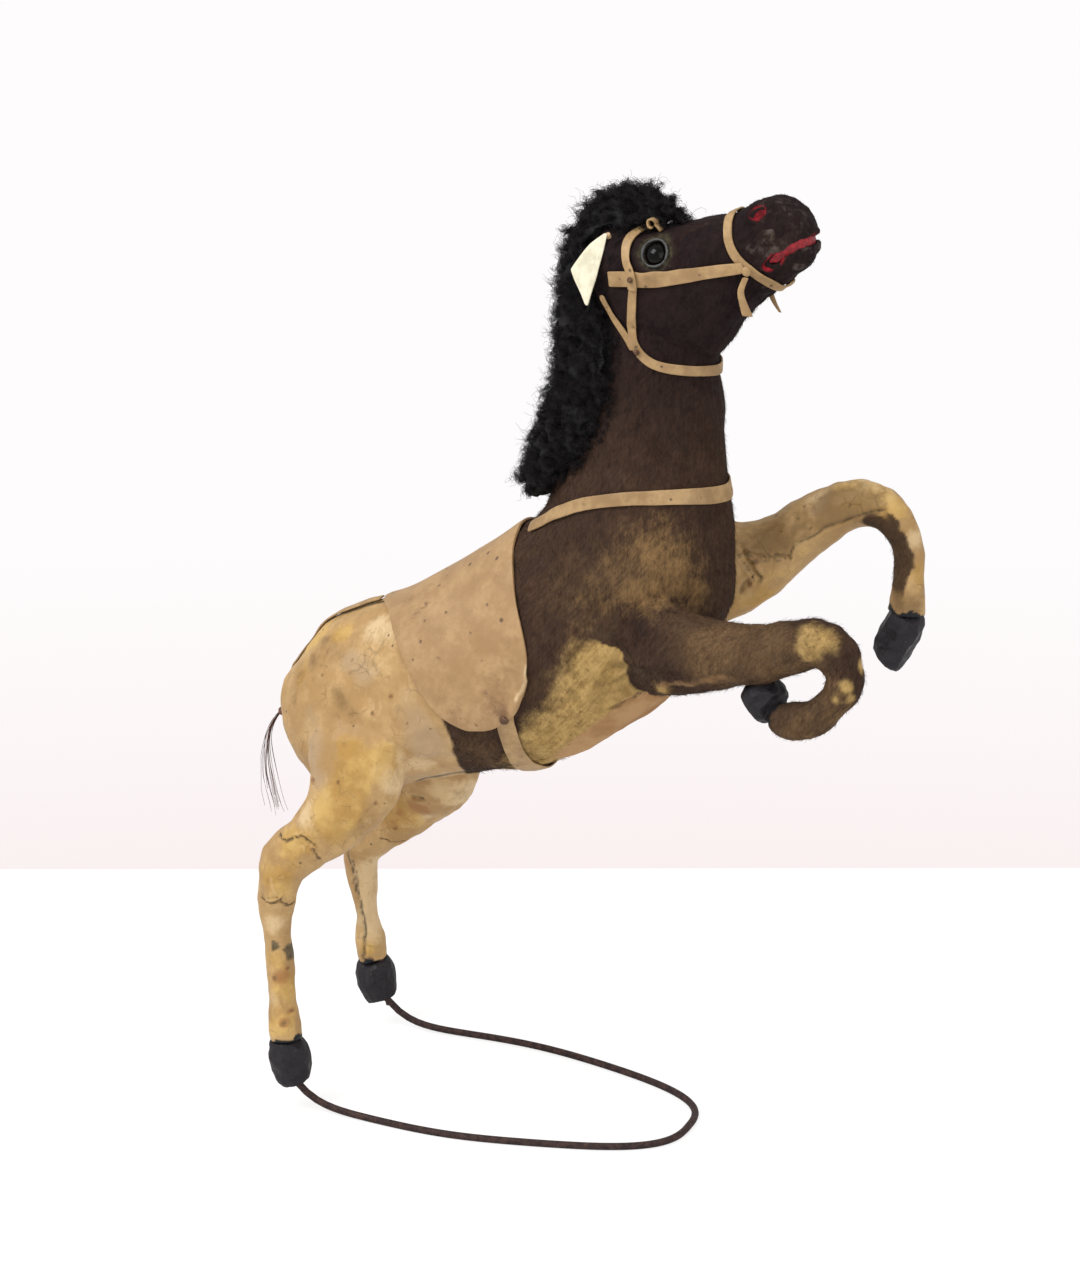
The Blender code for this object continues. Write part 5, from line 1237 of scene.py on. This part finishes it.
def makeSaddle():
    finish = leatherFinish("old_saddle_leather", leather["saddle"], leather["saddleDark"], 0.0062)
    saddle = softened("saddle", finish, ripple=0.00014, size=0.012, shape=curledEdge, follow=24)
    points = places(saddle.data)
    tree = treeOver(saddle.data)
    scratch = np.minimum(alongLine(points, laid(tree, saddleMarks["scratch"])),
                         alongLine(points, laid(tree, saddleMarks["secondScratch"])))
    hatching = np.clip(0.55 + 0.9 * ripples(points, 0.0014, 26), 0, 1.2)
    soil = 2.2 * hatching * hump(scratch, 0.0011)
    soil += spots(points, saddleMarks["soil"])
    for *place, radius in saddleMarks["specks"]:
        apart = np.linalg.norm((points - np.array(place) * mm) * [1, 0.4, 1], axis=1)
        soil = np.maximum(soil, 1.2 * easing(radius * mm - apart, -0.0003, 0.0003))
    paleEdge = alongLine(onRight(points), laid(tree, saddleMarks["paleEdge"]))
    paintOn(saddle.data, soil=soil, edge=0.85 * hump(paleEdge, 0.0012))


# Ears

def makeEars():
    skin = Finish("ear_leather_worn")
    patch = skin.noise(0.005, 4, 0.65)
    streak = skin.noise(0.0016, 3, 0.6, skin.stretch(1, 1, 0.25))
    tone = skin.mix(skin.step(patch, 0.40, 0.70), (0.76, 0.70, 0.535), (0.60, 0.555, 0.40))
    tone = skin.mix(skin.step(streak, 0.55, 0.75) * 0.35, tone, (0.40, 0.37, 0.27))
    finish = skin.set(Base_Color=tone, Roughness=skin.step(patch, 0.3, 0.7) * 0.2 + 0.45,
                      Normal=skin.bump(streak + patch, 0.0003))
    for side in ("right", "left"):
        softened(f"ear_{side}", finish, bevel=0.00018, levels=3, ripple=0.00022, size=0.006)


# Eyes

def makeEyes():
    finish = eyeFinish()
    rim = Finish("eye_rim_worn")
    wear = rim.noise(0.0011, 4, 0.7)
    rimTone = rim.mix(rim.step(wear, 0.40, 0.68), (0.014, 0.014, 0.014), (0.066, 0.065, 0.061))
    rimFinish = rim.set(Base_Color=rimTone, Roughness=0.34 + rim.step(wear, 0.3, 0.7) * 0.2,
                        Normal=rim.bump(wear, 0.0002))
    for side in ("right", "left"):
        node = f"eye_{side}"
        low, high = boxOf(node)
        centre = (low + high) / 2
        out = sum(boxOf(f"eye_ring_{side}")) / 2 - centre
        out /= np.linalg.norm(out)
        work = bmesh.new()
        bmesh.ops.create_uvsphere(work, u_segments=48, v_segments=32, radius=(high - low).mean() / 2)
        bmesh.ops.translate(work, verts=work.verts, vec=centre)
        thing = linked(node + "_glass", meshFrom(work, node + "_glass"))
        thing.data.shade_smooth()
        away = places(thing.data) - centre
        away /= np.linalg.norm(away, axis=1, keepdims=True)
        paintOn(thing.data, turn=np.degrees(np.arccos(np.clip(away @ out, -1, 1))) / 90)
        dress(thing, finish, "horse", (node,))
        softened(f"eye_ring_{side}", rimFinish, bevel=0.0002, levels=3, ripple=0.00010, size=0.0022)


def eyeFinish():
    # Black glass. The turn is how far a place is from where the eye looks, 1 for 90 degrees.
    glass = Finish("eye_glass", Roughness=0.07, Specular_IOR_Level=0.16)
    turn = glass.painted("turn")
    iris = glass.noise(0.0006, 3, 0.6)
    tone = glass.mix(glass.step(turn, 0.30, 0.36), (0.0010, 0.0010, 0.0010), (0.0025, 0.0018, 0.0016))
    inIris = glass.step(turn, 0.36, 0.55) * glass.step(iris, 0.3, 0.7)
    tone = glass.mix(inIris, tone, (0.0050, 0.0032, 0.0026))
    tone = glass.mix(glass.step(turn, 0.60, 0.68), tone, (0.003, 0.003, 0.004))
    return glass.set(Base_Color=tone)


def makeMouth():
    lip = Finish("mouth_paint", Specular_IOR_Level=0.3)
    worn = lip.noise(0.0022, 4, 0.7)
    tone = lip.mix(lip.step(worn, 0.38, 0.64), (0.190, 0.009, 0.014), (0.40, 0.024, 0.036))
    tone = lip.mix(lip.step(lip.noise(0.0013, 3, 0.6), 0.64, 0.76) * 0.35, tone, (0.50, 0.15, 0.13))
    finish = lip.set(Base_Color=tone, Roughness=0.40 + lip.step(worn, 0.3, 0.7) * 0.25,
                     Normal=lip.bump(worn, 0.0004))
    softened("mouth_lining", finish, bevel=0.0002, ripple=0.00015, size=0.003)


# Hooves

# How far each one's foot leans in x and z, and what share of that its top moves too
hoofLean = {
    "hoof_fore_left": (-0.0006, -0.0012, 0),
    "hoof_fore_right": (-0.0013, 0.0018, 0.6),
    "hoof_hind_right": (0.0004, 0, 0),
    "hoof_hind_left": (0, 0, 0),
}

# Flat places: the way each one faces, and how far out it is as a share of the hoof's reach that way
hindFlats = ((-0.3, -0.94, 0.1, 0.90), (0.8, -0.55, -0.1, 0.90))
hoofFlats = {
    "hoof_fore_left": ((0.86, -0.12, -0.50, 0.70), (-0.76, -0.12, -0.64, 0.72), (0.10, -0.9, -0.42, 0.80),
                       (-0.80, -0.3, 0.52, 0.84), (0.97, -0.2, 0.15, 0.92), (-0.35, -0.9, 0.25, 0.84)),
    "hoof_fore_right": ((-0.75, -0.3, -0.55, 0.86), (-0.6, -0.2, 0.75, 0.88), (0.2, -0.95, 0.2, 0.88)),
    "hoof_hind_right": hindFlats,
    "hoof_hind_left": hindFlats,
}


def makeHooves():
    paint = Finish("hoof_black_paint", Specular_IOR_Level=0.30)
    worn = paint.noise(0.0035, 4, 0.65)
    fleck = paint.noise(0.0010, 3, 0.6)
    tone = paint.mix(paint.step(worn, 0.38, 0.66), (0.0055, 0.0044, 0.0066), (0.018, 0.0150, 0.0190))
    tone = paint.mix(paint.step(fleck, 0.65, 0.75) * 0.6, tone, (0.10, 0.075, 0.05))
    finish = paint.set(Base_Color=tone, Roughness=0.42 + paint.step(worn, 0.3, 0.7) * 0.28,
                       Normal=paint.bump(worn + fleck * 0.4, 0.0005))
    for number, (node, (leanX, leanZ, whole)) in enumerate(hoofLean.items()):
        hoof = gathered(node + "_dressed", (node,), 0.0002)
        voxelled(hoof, 0.00050)
        keepOutside(hoof)
        mesh = hoof.data
        ends = edgesOf(mesh)
        points = relaxed(places(mesh), ends, 3)
        putBack(mesh, points)
        out = normals(mesh)
        sole, top = points[:, 2].min(), points[:, 2].max()
        planes = np.random.default_rng(50 + number)
        middle = points.mean(axis=0)
        facets = planes.normal(size=(14, 3))
        facets /= np.linalg.norm(facets, axis=1, keepdims=True)
        away = points - middle
        for x, y, z, share in hoofFlats[node]:
            facet = np.array((x, y, z)) / math.hypot(x, y, z)
            reach = away @ facet
            away -= np.outer(np.maximum(reach - reach.max() * share, 0) * 0.9, facet)
        for facet in facets:
            reach = away @ facet
            limit = np.quantile(reach, 0.985) - 0.0001
            away -= np.outer(np.maximum(reach - limit, 0) * 0.85, facet)
        points = middle + away
        foot = easing(top - points[:, 2], 0.002, 0.012)
        points[:, 0] += leanX * (foot + whole)
        points[:, 2] += leanZ * (foot + whole)
        lump = 0.00022 * ripples(points, 0.006, 60 + number) + 0.00016 * ripples(points, 0.0025, 70 + number)
        points = points + out * lump[:, None]
        if "hind" in node:
            points[:, 2] = np.maximum(points[:, 2], sole)
        putBack(mesh, points)
        mesh.shade_smooth()
        dress(hoof, finish, "horse", (node,))


# The wool mane

wool = {
    "locks": 1500,
    "strands": 27000,
    "onHide": 6500,            # further strands that grow on the hide
    "each": 3200,              # strands in one piece
    "length": 0.0052,
    "curl": 0.00130,           # a ringlet's radius at its tip
    "thick": 0.000085,
    "core": 0.0026,            # how far the core is inside the solid
    "fromEars": 0.0019,
    "fromStraps": 0.0007,
}

# The wool's front edge on the neck and head: z and x in millimetres
woolFront = ((246.3, 6.8), (255.6, 16.1), (261.7, 22.0), (269.9, 25.0), (278.1, 26.4), (286, 27.6),
             (291.2, 28.4), (297.5, 27.6), (302.8, 25.8), (310.4, 24.1), (314.5, 24.5), (322.4, 28.4),
             (329.1, 29.6), (333.4, 30.2), (336.8, 34.0))


def makeMane():
    finish = woolFinish()
    mesh, points = maneCore(finish)
    chance = np.random.default_rng(5)
    points, out, onCore, onHide = woolPlaces(mesh, points, chance)
    roots = np.concatenate([chance.integers(0, onCore, wool["strands"]), onHide])
    along = np.linspace(0, 1, 11)
    locks = np.concatenate([chance.integers(0, onCore, wool["locks"]),
                            chance.choice(onHide, wool["locks"] // 4)])
    place = points[locks]
    curls = ringlets(chance, place, out[locks], np.where(locks < onCore, 1.0, 0.62), along)

    # Each strand starts at its own root and follows the nearest ringlet
    near = np.concatenate([np.argmin(((part[:, None] - place[None]) ** 2).sum(2), axis=1)
                           for part in np.array_split(points[roots], 40)])
    count = len(roots)
    base = points[roots] + chance.normal(scale=0.0003, size=(count, 3)) - out[roots] * 0.0006
    wild = chance.uniform(0, 1, count) ** 5
    scatter = chance.normal(size=(count, 3)) * (0.00028 + 0.0020 * wild)[:, None]
    paths = (base[:, None] + curls[near] * chance.uniform(0.75, 1.12, (count, 1, 1))
             + ((place[near] - base) * 0.55 + scatter)[:, None] * along[:, None])
    wave = chance.uniform(1.5, 3.0, count)[:, None] * along * 2 * math.pi
    wave = wave + chance.uniform(0, 7, count)[:, None]
    paths += (0.00022 * along * np.sin(wave))[..., None] * chance.normal(size=(count, 1, 3))
    paths = keptClear(paths)
    radii = wool["thick"] * (1.0 - 0.6 * along)[None] * np.ones((len(paths), 1))
    for number, start in enumerate(range(0, len(paths), wool["each"])):
        some = slice(start, start + wool["each"])
        vertices, faces = tubes(paths[some], radii[some])
        strands = newPiece(f"mane_strands_{number + 1}", vertices, faces, finish, "horse")
        # tip runs from 0 at the root to 1 at the tip, for the painted shade towards the roots.
        paintOn(strands.data, tip=np.tile(np.repeat(along, 3), len(vertices) // (3 * len(along))))


def woolFinish():
    fleece = Finish("black_wool", Specular_IOR_Level=0.30)
    tuft = fleece.noise(0.0030, 4, 0.7)
    # Darker towards the roots and on the core and lighter at the tips: painted shade deep in the fleece.
    tip = fleece.step(fleece.painted("tip") + (tuft - 0.5) * 0.6, 0.30, 1.05)
    tone = fleece.mix(tip, (0.0018, 0.0012, 0.0017), (0.0155, 0.0102, 0.0128))
    return fleece.set(Base_Color=tone, Roughness=0.62 + fleece.step(tuft, 0.3, 0.7) * 0.15,
                      Normal=fleece.bump(tuft, 0.0008))


def maneCore(finish):
    # The mane's solid, lumpy and a little smaller, so that the strands on it fill the solid.
    core = gathered("mane_core", ("mane",), 0.0)
    voxelled(core, 0.0010)
    keepOutside(core)
    mesh = core.data
    points = relaxed(places(mesh), edgesOf(mesh), 5, False)
    putBack(mesh, points)
    bump = 0.0012 * ripples(points, 0.0046, 81) + 0.0005 * ripples(points, 0.002, 82)
    points = points + normals(mesh) * (bump - wool["core"])[:, None]
    points[:, 2] -= (0.0030 * easing(points[:, 0], 0.030, 0.046) * easing(points[:, 2], 0.335, 0.345)
                     + 0.0026 * easing(-points[:, 2], -0.250, -0.240))
    putBack(mesh, points)
    mesh.shade_smooth()
    # The core counts as root, so it takes the darkest painted shade.
    paintOn(mesh, tip=np.zeros(len(points)))
    dress(core, finish, "horse", ("mane",))
    return mesh, points


def woolPlaces(mesh, points, chance):
    # Where wool can grow: all over the core, and by chance on the hide close to the mane.
    free = np.flatnonzero(heightsOver(skins["dressed"], points)[0] > 0.0010)
    mane = treeOf(("mane",))[0]
    low, high = boxOf("mane")
    where, outs, weights = [points[free]], [normals(mesh)[free]], []
    for name, voxel in zip(skinNames, (hide["voxel"], hide["headVoxel"])):
        skin = bpy.data.objects[name].data
        surface = places(skin)
        aside = onRight(surface)
        nearBox = ((surface > low - 0.004) & (surface < high + 0.004)).all(axis=1)
        front = np.interp(aside[:, 2], [z * mm for z, _ in woolFront], [x * mm for _, x in woolFront])
        behind = (aside[:, 0] < front + 0.0005 * ripples(aside, 0.003, 27)) & (aside[:, 2] > 0.2463)
        inHead = (surface[:, 2] > hide["headFrom"]) == (name == "head_skin")
        chosen = [i for i in np.flatnonzero(nearBox & inHead)
                  if mane.find_nearest(Vector(surface[i]), 0.0080 if behind[i] else 0.0018)[0] is not None]
        where.append(surface[chosen])
        outs.append(normals(skin)[chosen])
        weights.append(np.full(len(chosen), voxel ** 2))
    weights = np.concatenate(weights)
    onHide = len(free) + chance.choice(len(weights), wool["onHide"], p=weights / weights.sum())
    return np.concatenate(where), np.concatenate(outs), len(free), onHide


def ringlets(chance, place, out, size, along):
    # One curl for each lock: it leans down and back, or forwards on the horse's sides, and widens to its tip.
    sideways = easing(np.abs(out[:, 1]), 0.45, 0.9)[:, None]
    onSide = np.stack([0.60 + 0 * place[:, 0], 0.12 * np.sign(out[:, 1]), -0.45 + 0 * place[:, 0]], axis=1)
    flow = (1 - sideways) * np.array([-0.30, 0.0, -0.60]) + sideways * onSide
    lean = out + 0.60 * flow + chance.normal(scale=0.20, size=place.shape)
    lean /= np.linalg.norm(lean, axis=1, keepdims=True)
    first = np.cross(lean, chance.normal(size=place.shape))
    first /= np.linalg.norm(first, axis=1, keepdims=True)
    second = np.cross(lean, first)
    length = wool["length"] * size * chance.uniform(0.7, 1.15, len(place))
    turns = (chance.uniform(1.0, 1.9, len(place))[:, None] * along * 2 * math.pi
             + chance.uniform(0, 7, len(place))[:, None])
    ring = (wool["curl"] * size * chance.uniform(0.6, 1.3, len(place)))[:, None] * along ** 0.7
    return (lean[:, None] * (length[:, None] * along * 0.8)[..., None]
            + first[:, None] * (ring * np.cos(turns))[..., None]
            + second[:, None] * (ring * np.sin(turns))[..., None])


def keptClear(paths):
    # Drops strands that come close to the ears, straps or eyes, and lifts the others out of the hide.
    ears = treeOf(("ear_right", "ear_left"))[0]
    room = treeOf(("cheek_strap_right", "cheek_strap_left", "poll_strap_right", "poll_strap_left", "browband",
                   "eye_right", "eye_left", "eye_ring_right", "eye_ring_left"))[0]
    keep = np.array([all(room.find_nearest(Vector(path[step]), wool["fromStraps"])[0] is None
                         and ears.find_nearest(Vector(path[step]), wool["fromEars"])[0] is None
                         for step in (2, 4, 6, 8, 10)) for path in paths])
    paths = paths[keep]
    heights, outward = heightsOver(skins["dressed"], paths[:, 2:].reshape(-1, 3))
    sunk = np.maximum(0.0003 - heights, 0)[:, None] * outward
    paths[:, 2:] += sunk.reshape(len(paths), -1, 3)
    return paths[heights.reshape(len(paths), -1).min(axis=1) > -0.0030]


# The tail: two loose bunches of hairs, each along a line of x and z in millimetres
tail = {"spread": 0.00105, "thick": 0.00011}

# How many hairs follow each line, and the line
tailLines = ((11, ((-113.8, 142.0), (-118.6, 136.2), (-120.4, 128.3), (-119.2, 118.5), (-117.4, 109.6),
                   (-115.5, 102.1), (-113.0, 98.4))),
             (8, ((-113.8, 142.0), (-118.9, 135.5), (-121.6, 124.2), (-122.2, 116.5), (-120.6, 109.1),
                   (-117.6, 101.8), (-117.0, 94.6))))


def makeTail():
    hair = Finish("tail_horsehair")
    shade = hair.noise(0.004, 3, 0.6)
    tone = hair.mix(hair.step(shade, 0.3, 0.7), (0.030, 0.010, 0.006), (0.13, 0.045, 0.022))
    finish = hair.set(Base_Color=tone, Roughness=0.42 + hair.step(shade, 0.3, 0.7) * 0.2)
    chance = np.random.default_rng(9)
    along = np.linspace(0, 1, 30)
    bunches = []
    for count, line in tailLines:
        line = np.array(line) * mm
        run = np.concatenate([[0], np.cumsum(np.linalg.norm(np.diff(line, axis=0), axis=1))])
        middle = np.stack([np.interp(along * run[-1], run, line[:, 0]), 0 * along,
                           np.interp(along * run[-1], run, line[:, 1])], axis=1)
        for _ in range(10):
            middle[1:-1] = (middle[:-2] + middle[1:-1] * 2 + middle[2:]) / 4
        offset = chance.normal(size=(count, 3)) * [1.0, 1.1, 0.3] * tail["spread"]
        widening = (0.25 + 1.5 * along ** 0.9)[None, :, None]
        turns = along * chance.uniform(3, 8, (count, 1)) + chance.uniform(0, 7, (count, 1))
        wave = 0.0004 * along * np.sin(turns)
        paths = middle[None] + offset[:, None] * widening
        paths[..., 0] += wave
        paths[..., 1] += wave[::-1]
        stop = chance.uniform(0.72, 1.0, count)
        for k in range(count):
            shorter = [np.interp(along * stop[k], along, paths[k, :, axis]) for axis in range(3)]
            paths[k] = np.stack(shorter, axis=1)
        bunches.append(paths)
    paths = np.concatenate(bunches)
    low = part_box("tail_hair")[0]
    paths[..., 0] = np.maximum(paths[..., 0], low[0] + 0.0002)
    radii = tail["thick"] * (1 - 0.45 * along)[None] * chance.uniform(0.7, 1.2, (len(paths), 1))
    vertices, faces = tubes(paths, radii, 5)
    newPiece("tail_hairs", vertices, faces, finish, "tail_hair", ("tail_hair",))
    softened("tail_binding", finish, bevel=0, ripple=0.0002, size=0.0015)


# The stand

stand = {
    "thick": 0.00135,          # the wire's radius
    "heel": -0.0931,           # where it enters the hooves
    "spacing": 0.077,          # between the hooves
    "length": 0.1425,          # of the loop
    "roundness": 0.72,         # of the loop's corners
    "skew": 0.004,             # the loop's front is off the middle
    "drop": 0.0118,            # from the hooves to the table
    "reach": 0.0085,           # how far ahead it has come down
    "bend": 1.15,              # how sharply it comes down
    "bulge": (0.0042, 0.0030),  # how far the right and left sides bow out
}


def wireFinish():
    iron = Finish("rusty_spring_wire", Metallic=0.35, Specular_IOR_Level=0.35)
    rust = iron.noise(0.0022, 4, 0.7)
    flake = iron.noise(0.0008, 3, 0.6)
    tone = iron.mix(iron.step(rust, 0.35, 0.68), (0.026, 0.016, 0.016), (0.070, 0.038, 0.032))
    tone = iron.mix(iron.step(flake, 0.60, 0.72) * 0.5, tone, (0.12, 0.065, 0.045))
    return iron.set(Base_Color=tone, Roughness=0.50 + iron.step(flake, 0.3, 0.7) * 0.3,
                    Normal=iron.bump(rust + flake * 0.5, 0.0003))


def makeStand():
    # One wire: out of the right hoof, down to the table, round the loop and up into the left.
    path = []
    for turn in np.linspace(0, math.pi, 240):
        ahead = max(math.sin(turn), 0.0) ** stand["roundness"]
        side = math.copysign(abs(math.cos(turn)) ** stand["roundness"], -math.cos(turn))
        reach = ahead * stand["length"]
        bulge = stand["bulge"][side >= 0] * math.exp(-((reach - 0.062) / 0.036) ** 2) * side
        path.append((stand["heel"] + reach,
                     side * stand["spacing"] / 2 + stand["skew"] * (1 - math.exp(-4 * ahead)) + bulge,
                     stand["thick"] + stand["drop"] * math.exp(-(reach / stand["reach"]) ** stand["bend"])))
    path = np.array(path)
    vertices, faces = tubes(path[None], np.full((1, len(path)), stand["thick"]), 14)
    wire = newPiece("stand_wire_dressed", vertices, faces, wireFinish(), None, ("stand_wire",))
    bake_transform(wire, "stand", "horse", (-0.0906, 0, 0.0045), (-0.0906, 0, 0.0094))


def finishInside():
    # The wood and wire inside the horse keep their CAD shape.
    wood = Finish("old_pale_wood")
    rings = wood.noise(0.0030, 4, 0.6, wood.stretch(0.15, 1, 1), 0.4)
    tone = wood.mix(wood.step(rings, 0.35, 0.65), (0.42, 0.27, 0.14), (0.56, 0.40, 0.23))
    woodFinish = wood.set(Base_Color=tone, Roughness=0.60 + wood.step(rings, 0.3, 0.7) * 0.2,
                          Normal=wood.bump(rings, 0.0003))
    iron = bpy.data.materials["rusty_spring_wire"]
    for node in ("body_core", "neck_core", "hip_dowel", "shoulder_dowel", "neck_dowel", "ear_peg_right",
                 "ear_peg_left", "tail_plug"):
        frame["nodes"][node].material_slots[0].material = woodFinish
    for node in ("leg_wire_right", "leg_wire_left"):
        frame["nodes"][node].material_slots[0].material = iron


# Camera, light and stage

view = {"place": (0.3978, -0.9271, 0.5097), "azimuth": 23.67, "pitch": 17.87, "lens": 84.22}

studio = {
    "key": 11.5,               # watts
    "fill": 3.4,
    "sky": 0.74,
    "wall": ((0.955, 0.865, 0.865, 1), (0.980, 0.930, 0.935, 1), (0.992, 0.975, 0.982, 1)),
    "wallRise": (-0.385, -0.275),
    "table": 0.80,
    "tableEdge": 1.245,        # the table's far edge, in metres ahead of the camera
    "tableTurn": -0.0037,      # its slope
    "tableShown": 1.22,        # how bright the table looks to the camera
    "tableShare": 0.62,
}


def makeCamera():
    data = bpy.data.cameras.new("camera")
    camera = linked("camera", data)
    camera.location = view["place"]
    camera.rotation_euler = (math.radians(90 - view["pitch"]), 0, math.radians(view["azimuth"]))
    data.lens = view["lens"]
    data.sensor_width = 36
    data.clip_start = 0.01
    bpy.context.scene.camera = camera


def makeStage():
    turn = math.radians(view["azimuth"])
    ahead = Vector((-math.sin(turn), math.cos(turn), 0))
    across = Vector((math.cos(turn), math.sin(turn), 0))
    foot = Vector((view["place"][0], view["place"][1], 0))
    corners = []
    for side, reach in ((-1.5, 1.0), (1.5, 1.0), (1.5, 0.0), (-1.5, 0.0)):
        edge = studio["tableEdge"] * reach - 1.6 * (1 - reach) - side * studio["tableTurn"]
        corners.append(foot + across * side + ahead * edge)
    table = Finish("white_table", Roughness=0.8)
    table.shader.inputs["Base Color"].default_value = (studio["table"], studio["table"], studio["table"], 1)
    glow = table.add("Emission", None, {"Color": (1.0, 1.0, 1.0), "Strength": studio["tableShown"]})
    seen = table.add("LightPath").outputs["Is Camera Ray"]
    share = Level(table, seen) * studio["tableShare"]
    mixed = table.add("MixShader", None, {0: share, 1: table.shader.outputs[0], 2: glow.outputs[0]})
    output = table.tree.nodes["Material Output"]
    table.tree.links.new(mixed.outputs[0], output.inputs["Surface"])
    floor = newPiece("table_top", corners, [(0, 3, 2, 1)], table.material, None)


def makeLight():
    # A pale sky that lights the horse, and a wall that only the camera sees, darker and redder below.
    world = bpy.data.worlds.new("studio")
    bpy.context.scene.world = world
    world.use_nodes = True
    nodes = world.node_tree.nodes
    links = world.node_tree.links
    back = nodes["Background"]
    back.inputs["Color"].default_value = (1.0, 0.985, 0.97, 1)
    back.inputs["Strength"].default_value = studio["sky"]
    place, split, rise, ramp, wall, ray, mixed = (nodes.new("ShaderNode" + kind) for kind in (
        "TexCoord", "SeparateXYZ", "MapRange", "ValToRGB", "Background", "LightPath", "MixShader"))
    rise.inputs["From Min"].default_value, rise.inputs["From Max"].default_value = studio["wallRise"]
    middle = ramp.color_ramp.elements.new(0.5)
    ramp.color_ramp.elements[0].color, middle.color, ramp.color_ramp.elements[2].color = studio["wall"]
    links.new(place.outputs["Generated"], split.inputs[0])
    links.new(split.outputs["Z"], rise.inputs["Value"])
    links.new(rise.outputs[0], ramp.inputs[0])
    links.new(ramp.outputs[0], wall.inputs["Color"])
    links.new(ray.outputs["Is Camera Ray"], mixed.inputs[0])
    links.new(back.outputs[0], mixed.inputs[1])
    links.new(wall.outputs[0], mixed.inputs[2])
    links.new(mixed.outputs[0], nodes["World Output"].inputs["Surface"])

    for name, place, size, power, aim in (
            ("key", (-0.55, -0.65, 1.20), 0.7, studio["key"], (0.0, 0.0, 0.17)),
            ("fill", (0.85, -0.70, 0.70), 0.9, studio["fill"], (0.0, 0.0, 0.2))):
        data = bpy.data.lights.new(name, "AREA")
        data.size = size
        data.energy = power
        lamp = linked(name, data)
        lamp.location = place
        lamp.rotation_euler = (Vector(aim) - Vector(place)).to_track_quat("-Z", "Y").to_euler()
    bpy.context.scene.view_settings.view_transform = "Standard"


makeBodyHide()
print("hide of the body and legs")
makeHeadHide()
makeFuzz()
print("hide of the head and short hair")
makeHarness()
makeSaddle()
print("harness and saddle")
makeEars()
makeEyes()
makeMouth()
makeHooves()
print("ears, eyes, mouth and hooves")
makeMane()
print("mane")
makeTail()
makeStand()
finishInside()
print("tail, stand, and the wood and wire inside")
makeCamera()
makeStage()
makeLight()
print("camera, table and light")
